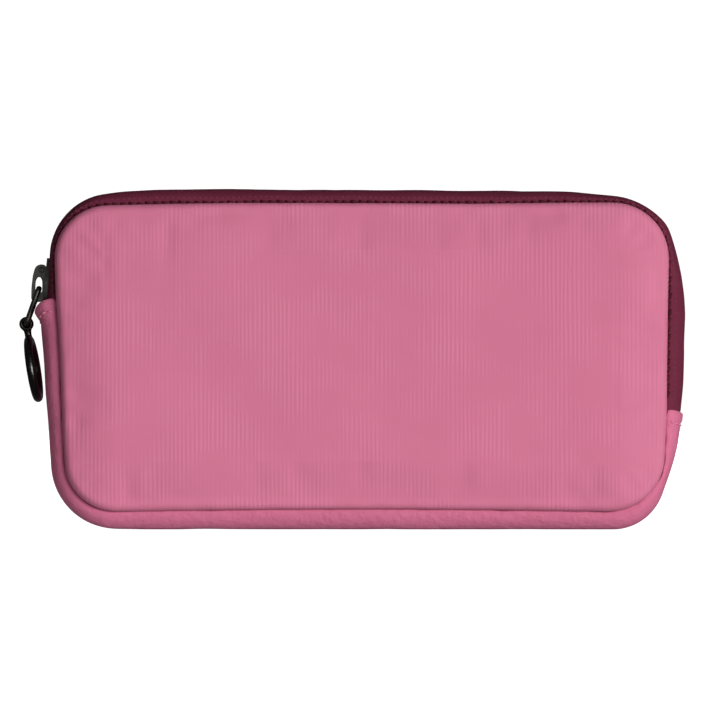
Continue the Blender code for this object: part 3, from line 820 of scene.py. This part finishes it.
def turned_in(edge, sign, y, bulge):
    """Points and distances of the rows where a gusset's end rolls over and returns behind itself."""
    turn = np.linspace(0, math.pi, 7)[1:, None]
    under = FOLD_RADIUS * (1 - np.cos(turn)) + pucker("gusset", edge, y, bulge)
    narrow = y * (1 - FOLD_NARROW * turn / math.pi)
    rolled = gusset_point("gusset", edge, narrow, bulge, under, FOLD_RADIUS * np.sin(turn) * sign)
    back = np.linspace(0, TAB_RETURN, 8)[1:, None]
    s = edge - sign * back
    under = 2 * FOLD_RADIUS + pucker("gusset", s, y, bulge)
    returned = gusset_point("gusset", s, y * (1 - FOLD_NARROW), bulge, under)
    along = edge + sign * np.concatenate([turn * FOLD_RADIUS, back + FOLD_LENGTH])
    return np.concatenate([rolled, returned]), along


def gusset_cover(mats):
    """The fabric gusset round the bottom, each end turned in and stitched down."""
    y, bulge = bulge_section(-GUSSET_EDGE_Y, GUSSET_EDGE_Y)
    first = GUSSET_START + tab_droop(RIGHT_TAB, bulge)
    last = LEFT_END - tab_droop(LEFT_TAB, bulge)
    s = rows_between(first, last, int(LEFT_END - GUSSET_START))
    below = pucker("gusset", s, y, bulge) + stitch_dent(s - first, bulge) + stitch_dent(last - s, bulge)
    main = gusset_point("gusset", s, y, bulge, below)
    start_grid, start_s = turned_in(first, -1, y, bulge)
    end_grid, end_s = turned_in(last, 1, y, bulge)
    grid = np.concatenate([start_grid[::-1], main, end_grid])
    along = np.concatenate([start_s[::-1], s, end_s])
    return cloth_strip("bottom_gusset_cover", grid, along, mats["gusset"], CLOTH_THICK)


def zip_tape(name, side, mats):
    """One zip tape, its ends under the gusset's tabs."""
    y, bulge = bulge_section(*sorted((side * SLIT_Y, side * GUSSET_EDGE_Y)))
    start, end = LEFT_END - TAPE_HIDDEN, RIGHT_END + TAPE_HIDDEN
    s = rows_between(np.full(len(y), start), end, int((end - start) / 1.2))
    left_edge = LEFT_END - tab_droop(LEFT_TAB, bulge)
    right_edge = RIGHT_END + tab_droop(RIGHT_TAB, bulge)
    covered = np.maximum(left_edge - s, s - right_edge) + 0.8
    curl = 0.35 * np.exp(-((np.abs(y) - SLIT_Y) / 0.6) ** 2)
    below = np.clip(covered / 2.0, 0, 1) + pucker("zip", s, y, bulge) + curl
    return cloth_strip(name, gusset_point("zip", s, y, bulge, below), s, mats["zip_tape"], CLOTH_THICK)


def gusset_lining(mats):
    """Lining of the gusset, inside its seam allowances and short of its turned-in ends."""
    y, bulge = bulge_section(-GUSSET_LINING_HALF, GUSSET_LINING_HALF, 9)
    start, end = GUSSET_START + GUSSET_LINING_ENDS[0], LEFT_END - GUSSET_LINING_ENDS[1]
    s = rows_between(np.full(len(y), start), end, int((end - start) / 2.0))
    grid = gusset_point("gusset", s, y, bulge, GUSSET_LINING_DEPTH + pucker("gusset", s, y, bulge))
    return cloth_strip("gusset_lining_sheet", grid, s, mats["lining"], LINING_THICK)


def zip_coil(name, side, mats):
    """One row of the zip: a flattened spiral whose turns reach past the middle between its partner's."""
    start, end = LEFT_END - COIL_HIDDEN, RIGHT_END + COIL_HIDDEN
    turns = int((end - start) / COIL_PITCH)
    phi = np.linspace(0, TURN * turns, turns * 8 + 1)
    s = start + COIL_PITCH * phi / TURN + (COIL_PITCH / 2 if side > 0 else 0)
    y = side * (1.05 - 1.35 * np.cos(phi))
    below = CLOTH_THICK + 1.15 + 0.55 * np.sin(phi)
    centre = gusset_point("zip", s, y, 1.0, below)
    return tube(name, centre, COIL_WIRE * MM, 5, mats["zip_coil"])


# ---- stitches ----

def stitches(name, centre, normal, size, mat, slant=0.0):
    """A row of thread stitches along a line on a surface, each arched with its ends buried."""
    length, radius, pitch = np.array(size) * MM
    along = distances(centre)
    normal = np.broadcast_to(normal, centre.shape)
    bead = np.linspace(-0.5, 0.5, 5)
    sides = 6
    thick = radius * (1 - 0.35 * (2 * bead) ** 2)
    lift = radius * (0.45 - 1.5 * (2 * bead) ** 4)
    points, faces = [], []
    for middle in np.arange(pitch / 2, along[-1] - length / 2, pitch):
        at = middle + bead * length
        up = unit(lookup(middle, along, normal))
        step = lookup(at + 0.01 * MM, along, centre) - lookup(at - 0.01 * MM, along, centre)
        across = np.cross(unit(step), up)
        spots = lookup(at, along, centre) + up * lift[:, None] + across * (slant * bead * length)[:, None]
        faces += tube_faces(len(bead), sides, len(points))
        points.extend(rings_round(spots, across, up[None], thick[:, None, None], sides).reshape(-1, 3))
    return outward(make_object(name, points, faces, mat))


def gusset_row(kind, s, bulge, side, below=0.0):
    """A line on one half of a gusset, and its outward directions."""
    y, angle = on_bead(np.broadcast_to(bulge, s.shape), side)
    here = gusset_point(kind, s, y, bulge, below + pucker(kind, s, y, bulge))
    _, out = seam_at(s)
    out_part = np.sin(angle) * (1 - BEAD_LOW) / rise_at(kind, s)
    depth_part = side * np.cos(angle) / BEAD_DEPTH
    return here, unit(together(out[:, 0] * out_part, depth_part, out[:, 1] * out_part))


def seam_stitches(prefix, side, mats):
    """Dark edge stitching on a zip tape beside its panel, and a finer row further out."""
    s = np.arange(LEFT_END + 2, RIGHT_END - 2, 0.5)
    line = gusset_row("zip", s, EDGE_STITCH_BULGE, side)
    edge = stitches(prefix + "_edge_stitches", *line, EDGE_STITCH, mats["thread"], 0.2)
    line = gusset_row("zip", s, TAPE_STITCH_BULGE, side)
    return edge, stitches(prefix + "_tape_stitches", *line, TAPE_STITCH, mats["tape_thread"])


def tab_stitches(name, end, tab, sign, mats):
    """The row of stitches across a turned-in end of the gusset."""
    bulge = np.linspace(0.14, 1, 40)
    s = end + sign * (tab_droop(tab, bulge) + TAB_STITCH_DROP)
    dent = stitch_dent(TAB_STITCH_DROP, bulge)
    below = dent - TAB_STITCH_LIFT
    front, front_normal = gusset_row("gusset", s, bulge, -1, below)
    back, back_normal = gusset_row("gusset", s, bulge, 1, below)
    flat_y = np.linspace(-GUSSET_FLAT_Y, GUSSET_FLAT_Y, 12)[1:-1]
    below = dent[-1] + pucker("gusset", s[-1], flat_y, 1.0)
    middle = gusset_point("gusset", s[-1], flat_y, 1.0, below)
    level = np.tile(front_normal[-1] * [1, 0, 1], (10, 1))
    line = np.concatenate([front, middle, back[::-1]])
    normal = np.concatenate([front_normal, level, back_normal[::-1]])
    return stitches(name, line, normal, TAB_STITCH, mats["highlighted_pink_thread"])


# ---- inside ----

def lining_sheet(name, side, mats):
    """Lining of a panel, a little loose over the foam."""
    points, faces = [], []
    add_layer(points, faces, behind_face((2.4, 3.4, 5.0, 7.0, 10.0, 14.0), LINING_DEPTH))
    points = np.array(points)
    place = points[:, [0, 2]]
    points[:, 1] = (points[:, 1] + waves(*place.T, 30, 21) * 0.15) * side
    if side > 0:
        faces = reversed_faces(faces)
    return thicken(make_object(name, points * MM, faces, mats["lining"], place * MM), LINING_THICK)


def binding_inset(s, inset):
    """Inset of a line on the binding, whose free edge sways a little."""
    return inset + waves(s, s * 0, 22, 31) * 0.35 * (inset - BINDING_NEAR) / BINDING_WIDE


def binding_loop(name, side, mats):
    """Tape folded round the seam allowance, inside an edge."""
    s = np.linspace(0, SEAM["length"], 420, endpoint=False)
    line, out = seam_at(s)
    angles = np.radians(np.linspace(-165, 165, 16))
    level, upright = np.cos(angles), np.sin(angles)
    half = BINDING_WIDE / 2
    inset = BINDING_NEAR + half + half * np.sign(level) * np.abs(level) ** 0.6
    depth = side * (BINDING_Y + 0.75 * np.sign(upright) * np.abs(upright) ** 0.8)
    spots = line[:, None] - out[:, None] * binding_inset(s[:, None], inset)[..., None]
    grid = together(spots[..., 0], depth, spots[..., 1]) * MM
    place = together(s[:, None], np.linspace(0, 11, 16)) * MM
    faces = grid_faces(len(s), len(angles), rows_wrap=True)
    obj = make_object(name, grid.reshape(-1, 3), faces, mats["binding"], place.reshape(-1, 2))
    return thicken(obj, 0.3, 0.0)


def binding_stitches(name, side, mats):
    """The row of stitches along a binding's inner edge."""
    s = np.linspace(0, SEAM["length"], 900)
    line, out = seam_at(s)
    spots = line - out * binding_inset(s, 4.9)[:, None]
    here = together(spots[:, 0], side * (BINDING_Y - 0.68), spots[:, 1]) * MM
    return stitches(name, here, (0.0, -side, 0.0), BINDING_STITCH, mats["zip_coil"])


def off_wall(gap, front, share):
    """Depth of what is sewn to the back wall: near it at a share of 0, at the front depth at 1."""
    return WALL_Y - gap - (WALL_Y - gap - front) * share


def pocket_surface(u, v):
    """Point of the mesh pocket, in metres: u across from -1 to 1, v up from 0 to 1."""
    height = POCKET_HIGH - POCKET_LOW
    x, z = u * POCKET_HALF, POCKET_LOW + v * height
    edge = min((1 - abs(u)) * POCKET_HALF, v * height + 0.2)
    share = min(edge / POCKET_ROUND, 1)
    y = off_wall(0.3, 7.0, math.sin(share * math.pi / 2) ** 0.8)
    return x * MM, (y + waves(x, z, 34, 41) * 0.25 * share) * MM, z * MM


def pocket_net(mats):
    """Knitted net: a lattice of real strands over the pocket's surface."""
    cols, rows = 54, 16
    points, faces, known = [], [], {}

    def vertex(i, j):
        if (i, j) not in known:
            known[(i, j)] = len(points)
            points.append(pocket_surface(i / cols - 1, j / (2 * rows)))
        return known[(i, j)]

    for j in range(2 * rows - 1):
        for i in range((j + 1) % 2, 2 * cols - 1, 2):
            faces.append((vertex(i, j + 1), vertex(i + 1, j), vertex(i + 2, j + 1), vertex(i + 1, j + 2)))
    points = np.array(points)
    obj = make_object("mesh_pocket_net", points, faces, mats["mesh"], points[:, [0, 2]])
    wires = obj.modifiers.new("strands", "WIREFRAME")
    wires.thickness = 0.42 * MM
    wires.use_even_offset = False
    wires.use_boundary = True
    return obj


def band(name, line, heights, bend, thick, mat):
    """An upright band along a line of (x, y) points; bend changes its grid of points in place."""
    grid = together(line[:, None, 0], line[:, None, 1], heights)
    bend(grid)
    return cloth_strip(name, grid * MM, distances(line)[:, None], mat, thick, 0.0, heights * MM)


def pocket_hem(mats):
    """Elastic across the pocket's mouth, gathering the net a little."""
    x = np.linspace(0.2 - POCKET_HALF, POCKET_HALF - 0.2, 220)
    edge = np.clip((POCKET_HALF - np.abs(x)) / POCKET_ROUND, 0, 1)
    y = off_wall(0.5, 6.7, np.sin(edge * math.pi / 2) ** 0.8) + np.sin(x * 1.1) * 0.14 * edge

    def dip(grid):
        grid[..., 2] -= 0.9 * np.cos(grid[..., 0] / POCKET_HALF * math.pi / 2)

    heights = np.linspace(HEM_LOW, HEM_HIGH, 7)
    return band("pocket_hem_elastic", together(x, y), heights, dip, 1.1, mats["elastic"])


def cable_loops(mats):
    """The elastic strip: feet on the wall, rounded loops between them, a little tighter at its edges."""
    x = np.linspace(-74.5, 74.5, 420)
    inside = (x - LOOPS_START - LOOP_FOOT) / LOOP_PITCH
    share = (inside % 1.0) * LOOP_PITCH / (LOOP_PITCH - LOOP_FOOT)
    on_loop = (inside >= 0) & (inside < LOOP_COUNT) & (share < 1)
    arch = np.where(on_loop, np.sin(np.clip(share, 0, 1) * math.pi) ** 0.42, 0)

    def tighten(grid):
        lift = (WALL_Y - 0.5 - grid[..., 1]) / (WALL_Y - 7.7)
        edge = np.abs(grid[..., 2] - (LOOPS_LOW + LOOPS_HIGH) / 2) / 9
        grid[..., 1] += 0.5 * lift * edge ** 2
        grid[..., 2] += np.sin(grid[..., 0] / 9.0) * 0.15

    line = together(x, off_wall(0.5, 7.2, arch))
    heights = np.linspace(LOOPS_LOW, LOOPS_HIGH, 13)
    return band("cable_loops_elastic", line, heights, tighten, 1.0, mats["elastic"])


def foot_stitches(mats):
    """Two rows of stitches down each foot of the elastic."""
    z = np.linspace(LOOPS_LOW + 0.6, LOOPS_HIGH - 0.4, 40)
    made = []
    for foot in range(LOOP_COUNT + 1):
        for shift in (1.6, 3.4):
            x = LOOPS_START + foot * LOOP_PITCH + shift
            line = together(x, WALL_Y - 1.0, z) * MM
            made.append(stitches("foot_stitches", line, (0.0, -1.0, 0.0), FOOT_STITCH, mats["thread"]))
    return join(made, "loop_foot_stitches")


# ---- slider, link and ring ----

def rounded(points, radius, steps=4):
    """A flat closed section with each of its corners rounded."""
    result = []
    points = np.array(points, float)
    for before, corner, after in zip(np.roll(points, 1, axis=0), points, np.roll(points, -1, axis=0)):
        before, after = before - corner, after - corner
        reach = min(radius, 0.45 * np.linalg.norm(before), 0.45 * np.linalg.norm(after))
        a, b = corner + unit(before) * reach, corner + unit(after) * reach
        for t in np.linspace(0, 1, steps):
            result.append(tuple((1 - t) ** 2 * a + 2 * t * (1 - t) * corner + t ** 2 * b))
    return result


def plan_place(y, z, out):
    """Point of a section seen from the pouch's left, at a distance outwards."""
    return (ZIP_LEFT_X - out, y, z)


def profile_place(out, z, y):
    """Point of a section seen from the front, at a depth."""
    return (ZIP_LEFT_X - out, y, z)


def prism(bm, section, span, place):
    """Extrude a flat section between two distances; place turns (a, b, distance) into a point."""
    low, high = [
        [bm.verts.new(Vector(place(a, b, distance)) * MM) for a, b in section] for distance in span
    ]
    bm.faces.new(low)
    bm.faces.new(high)
    for i in range(len(section)):
        j = (i + 1) % len(section)
        bm.faces.new((low[i], low[j], high[j], high[i]))


def cast_object(name, bm, mat):
    """A cast piece, its faces turned outwards."""
    obj = make_object(name, [], [], mat)
    bm.to_mesh(obj.data)
    bm.free()
    obj.data.shade_smooth()
    return outward(obj)


def round_edges(obj, width, angle):
    """Round the edges that are sharper than an angle in degrees."""
    mod = obj.modifiers.new("rounded_edges", "BEVEL")
    mod.width = width * MM
    mod.segments = 3
    mod.limit_method = "ANGLE"
    mod.angle_limit = math.radians(angle)
    mod.harden_normals = True
    return obj


def slider_body(mats):
    """The slider's two plates and the post between them."""
    bm = bmesh.new()
    for low, shoulder, high, radius, span in (
        (70.6, 76, 84.3, 1.3, (0.3, 1.6)),
        (72.6, 77, 83.6, 1.2, (-5.5, -4.6)),
    ):
        right = [(4.2, low), (4.2, shoulder), (3.2, high)]
        left = [(-y, z) for y, z in right]
        prism(bm, rounded([left[0], *right, left[2], left[1]], radius), span, plan_place)
    post = rounded([(-0.5, 73.2), (0, 72.6), (0.5, 73.2), (0.5, 75.6), (0, 76.2), (-0.5, 75.6)], 0.2, 3)
    prism(bm, post, (-4.9, 0.6), plan_place)
    lean = Matrix.Translation(SLIDER_MIDDLE) @ Matrix.Rotation(SLIDER_LEAN, 4, "Y")
    bm.transform(lean @ Matrix.Translation(-SLIDER_MIDDLE))
    return round_edges(cast_object("slider_plates", bm, mats["gunmetal"]), 0.25, 35)


def slider_cap(mats):
    """The crown over the slider, an arch whose window holds the link, with a dimple on each side."""
    arch = rounded([
        (1.4, 70.8), (4.9, 70.5), (5.9, 71.4), (5.85, 75), (5.4, 79), (4.6, 81.6), (3.2, 82.4), (1.7, 82.2),
        (1.2, 81.4),
    ], 1.3, 5)
    window = rounded([
        (2.5, 73.6), (4.3, 73.4), (4.7, 74.2), (4.55, 77.2), (3.9, 78.4), (3.0, 78.3), (2.45, 77.2),
    ], 0.7, 4)
    angles = np.linspace(0, TURN, 16, endpoint=False)
    dimple = [(2.6 + 0.75 * math.cos(angle), 80.6 + 0.75 * math.sin(angle)) for angle in angles]
    bm = bmesh.new()
    prism(bm, arch, (-CROWN_HALF, CROWN_HALF), profile_place)
    cap = cast_object("slider_crown", bm, mats["gunmetal"])
    bm = bmesh.new()
    prism(bm, window, (-CROWN_HALF - 1, CROWN_HALF + 1), profile_place)
    for side in (-1, 1):
        prism(bm, dimple, (side * (CROWN_HALF - 0.3), side * (CROWN_HALF + 1)), profile_place)
    cutter = cast_object("crown_cutter", bm, mats["gunmetal"])
    cut = cap.modifiers.new("window", "BOOLEAN")
    cut.operation = "DIFFERENCE"
    cut.object = cutter
    settle(cap)
    bpy.data.objects.remove(cutter)
    return round_edges(cap, 0.28, 50)


def joint_place(name):
    """Where a joint turns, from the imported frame."""
    return next(Vector(joint["pos_m"]) for joint in frame["joints"] if joint["name"] == name)


def round_loop(name, path, radius, sides, mat):
    """A wire along a closed line of points."""
    path = np.array(path)
    ahead = unit(np.roll(path, -1, axis=0) - np.roll(path, 1, axis=0))
    count = len(path)
    normal = unit(np.cross(path[count // 3] - path[0], path[2 * count // 3] - path[0]))
    rings = rings_round(path, np.cross(ahead, normal), normal[None], radius * MM, sides)
    faces = grid_faces(count, sides, rows_wrap=True, cols_wrap=True)
    return outward(make_object(name, rings.reshape(-1, 3), faces, mat))


def circle(centre, first, second, radius, count):
    """Points on a circle, from its first direction towards its second."""
    angles = np.linspace(0, TURN, count, endpoint=False)
    return [centre + (first * math.cos(a) + second * math.sin(a)) * radius * MM for a in angles]


def pull_link(mats):
    """A closed wire link through the crown's window and the ring's eye."""
    top, eye = joint_place("pull_swing"), joint_place("ring_swing")
    down, length = (eye - top).normalized(), (eye - top).length
    depth = Vector((0, 1, 0))
    corner, half = LINK_CORNER * MM, LINK_HALF * MM
    path = []
    for sign_y, sign_d, start in ((1, 1, 0), (-1, 1, 90), (-1, -1, 180), (1, -1, 270)):
        centre_d = length - corner if sign_d > 0 else corner
        for angle in np.radians(start + np.linspace(0, 90, 9)):
            y = sign_y * (half - corner) + corner * math.cos(angle)
            path.append(top + down * (centre_d + corner * math.sin(angle)) + depth * y)
        if sign_d != sign_y:
            near = path[-1]
            far = top + down * (length - centre_d) + depth * (near.y - top.y)
            path += [near.lerp(far, t) for t in (0.25, 0.5, 0.75)]
    return round_loop("pull_link_wire", path, LINK_WIRE, 14, mats["gunmetal"])


def ring_pull(mats):
    """Ring, neck and eye in one casting, its joins filleted."""
    eye, depth = joint_place("ring_swing"), Vector((0, 1, 0))
    down = Vector((math.sin(RING_LEAN), 0, -math.cos(RING_LEAN)))
    level = Matrix.Rotation(RING_TWIST, 3, down) @ depth
    mat = mats["black_metal"]
    path = circle(eye + down * RING_DROP * MM, down, level, RING_RADIUS, 72)
    ring = round_loop("ring_pull_casting", path, RING_WIRE, 20, mat)
    path = circle(eye, Vector((1, 0, 0)), Vector((0, 0, 1)), EYE_RADIUS, 40)
    knob = round_loop("pull_eye", path, EYE_WIRE, 12, mat)
    for vertex in knob.data.vertices:
        vertex.co.y *= EYE_STRETCH
    share = np.linspace(0, 1, 8)
    centre = np.array(eye) + np.array(down) * ((NECK_START + NECK_LENGTH * share) * MM)[:, None]
    waist = (1.1 + 0.35 * (2 * share - 1) ** 2) * MM
    spokes = np.array(down.cross(depth))[None], np.array(depth)[None]
    rings = rings_round(centre, *spokes, waist[:, None, None], 16)
    neck = outward(make_object("pull_neck", rings.reshape(-1, 3), tube_faces(8, 16), mat))
    join([ring, outward(knob), neck], "ring_pull_casting")
    fuse = ring.modifiers.new("fuse", "REMESH")
    fuse.mode = "VOXEL"
    fuse.voxel_size = 0.16 * MM
    fuse.use_smooth_shade = True
    smooth = ring.modifiers.new("fillets", "SMOOTH")
    smooth.factor = 0.5
    smooth.iterations = 6
    return settle(ring)


# ---- the whole pouch ----

def dress(obj, body, slot, *nodes):
    """Put a piece on its body in place of its CAD nodes; a piece on "mouth", the flap, has its place baked
    into its mesh instead of a parent. slot is not used.
    """
    if body == "mouth":
        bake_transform(obj)
    else:
        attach(obj, body)
    if nodes:
        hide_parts(*nodes)
    return obj


# Prefix of the names, side, body, and the endings of the nodes that the flap's hinge cuts in two.
HALVES = (("front", -1, "mouth", ("_upper", "_lower")), ("back", 1, "pouch", ("",)))


def build(mats):
    """Every piece of the pouch, on its body, in place of its CAD nodes."""
    for prefix, side, body, endings in HALVES:
        cover = panel_cover(prefix + "_panel_cover", side, mats)
        nodes = [prefix + part + ending for part in ("_panel", "_foam") for ending in endings]
        dress(cover, body, "shell", *nodes)

    gusset = dress(gusset_cover(mats), "pouch", "gusset", "bottom_gusset")

    for prefix, side, body, endings in HALVES:
        tape = dress(zip_tape(prefix + "_zip_tape_cover", side, mats), body, "zip_tape", prefix + "_zip_tape")
        dress(zip_coil(prefix + "_zip_coil_spiral", side, mats), body, "zip_coil", prefix + "_zip_coil")
        lining = lining_sheet(prefix + "_lining_sheet", side, mats)
        dress(lining, body, "lining", *[prefix + "_lining" + ending for ending in endings])
        binding = binding_loop(prefix + "_binding_tape", side, mats)
        dress(binding, body, "binding", *[prefix + "_seam_binding" + ending for ending in endings])
        dress(binding_stitches(prefix + "_binding_stitches", side, mats), body, "binding")

    for prefix, side, body, _ in HALVES:
        for row in seam_stitches(prefix, side, mats):
            dress(row, body, "zip_tape")
    dress(tab_stitches("right_tab_stitches", GUSSET_START, RIGHT_TAB, 1, mats), "pouch", "gusset")
    dress(tab_stitches("left_tab_stitches", LEFT_END, LEFT_TAB, -1, mats), "pouch", "gusset")

    inner = dress(gusset_lining(mats), "pouch", "lining", "gusset_lining")

    net = dress(pocket_net(mats), "pouch", "mesh", "mesh_pocket")
    hem = dress(pocket_hem(mats), "pouch", "elastic", "pocket_hem")
    loops = dress(cable_loops(mats), "pouch", "elastic", "cable_elastic")
    dress(foot_stitches(mats), "pouch", "elastic")

    dress(slider_body(mats), "slider", "gunmetal", "slider_body")
    dress(slider_cap(mats), "slider", "gunmetal", "slider_cap")
    dress(pull_link(mats), "link", "gunmetal", "pull_link")
    dress(ring_pull(mats), "ring", "black_metal", "ring_pull")


# ---- studio, in metres ----

COVE_RADIUS = 6.0
COVE_ROUND = 1.2
COVE_HEIGHT = 4.5
FLOOR_GLOW = 0.97
AIR_LIGHT = 0.10
LAMP_DISTANCE = 4.2
TABLE_BOUNCE = 0.5
TABLE_BOUNCE_WIDTH = 0.8
# Name, azimuth from the front in degrees, height, width, height of the lamp's face, power.
LAMPS = (
    ("key", 34, 0.45, 2.2, 1.4, 210.0),
    ("front_fill", -2, 0.40, 2.2, 1.2, 9.0),
    ("back_left", 200, 0.8, 1.8, 1.4, 45.0),
    ("back_right", 165, 0.8, 1.8, 1.4, 110.0),
    ("top_soft", 20, 4.2, 2.0, 2.0, 34.0),
)
VIEW_WIDTH = 0.2236
VIEW_DISTANCE = 3.2


def cove():
    """A pale floor that curves up into a wall all round."""
    g = Graph("pale_floor")
    tone = g.noise(g.object_place(), 0.3, 2.0)
    glow = {"Emission Color": (1.0, 1.0, 1.0), "Emission Strength": FLOOR_GLOW}
    g.finish(g.mix(tone, (0.50, 0.50, 0.50), (0.54, 0.54, 0.54)), 0.9, **glow)
    edge = COVE_RADIUS - COVE_ROUND
    section = [(1.0, 0.0), (2.0, 0.0), (edge, 0.0)]
    for angle in np.linspace(0, math.pi / 2, 16)[1:]:
        section.append((edge + COVE_ROUND * math.sin(angle), COVE_ROUND * (1 - math.cos(angle))))
    section.append((COVE_RADIUS, COVE_HEIGHT))
    turns = 64
    points = []
    for radius, z in section:
        for angle in np.linspace(0, TURN, turns, endpoint=False):
            points.append((radius * math.cos(angle), radius * math.sin(angle), z))
    faces = [tuple(range(turns))] + reversed_faces(grid_faces(len(section), turns, cols_wrap=True))
    obj = make_object("studio_cove", points, faces, g.mat)
    obj.visible_diffuse = False
    obj.visible_glossy = False


def air():
    """A little even light from all round."""
    world = bpy.data.worlds.new("studio_air")
    world.use_nodes = True
    background = world.node_tree.nodes["Background"]
    background.inputs[0].default_value = (1, 1, 1, 1)
    background.inputs[1].default_value = AIR_LIGHT
    bpy.context.scene.world = world


def area_light(name, shape, width, power, glossy):
    """A flat lamp, which shows in reflections only where glossy says so."""
    data = bpy.data.lights.new(name, "AREA")
    data.shape = shape
    data.size = width
    data.energy = power
    lamp = link(bpy.data.objects.new(name, data))
    lamp.visible_glossy = glossy
    return lamp


def lamps():
    """Soft lamps level with the pouch and over it, and the light that the white table throws back up."""
    for name, azimuth, height, width, tall, power in LAMPS:
        lamp = area_light(name, "RECTANGLE", width, power, name in ("key", "front_fill"))
        lamp.data.size_y = tall
        angle = math.radians(azimuth)
        lamp.location = (LAMP_DISTANCE * math.sin(angle), -LAMP_DISTANCE * math.cos(angle), height)
        aim = Vector((0, 0, 0.05)) - lamp.location
        lamp.rotation_euler = aim.to_track_quat("-Z", "Y").to_euler()
    bounce = area_light("table_bounce", "DISK", TABLE_BOUNCE_WIDTH, TABLE_BOUNCE, False)
    bounce.location = (0, 0, 0.3 * MM)
    bounce.rotation_euler = (math.pi, 0, 0)
    bounce.visible_camera = False


def camera():
    """A long lens facing the pouch's front."""
    data = bpy.data.cameras.new("camera")
    data.lens = data.sensor_width * VIEW_DISTANCE / VIEW_WIDTH
    data.clip_end = 50
    obj = link(bpy.data.objects.new("camera", data))
    obj.location = (-0.3 * MM, -4 * MM - VIEW_DISTANCE, 52.6 * MM)
    obj.rotation_euler = (math.pi / 2, 0, 0)
    bpy.context.scene.camera = obj
    bpy.context.scene.view_settings.view_transform = "Standard"


build(make_materials())
cove()
air()
lamps()
camera()
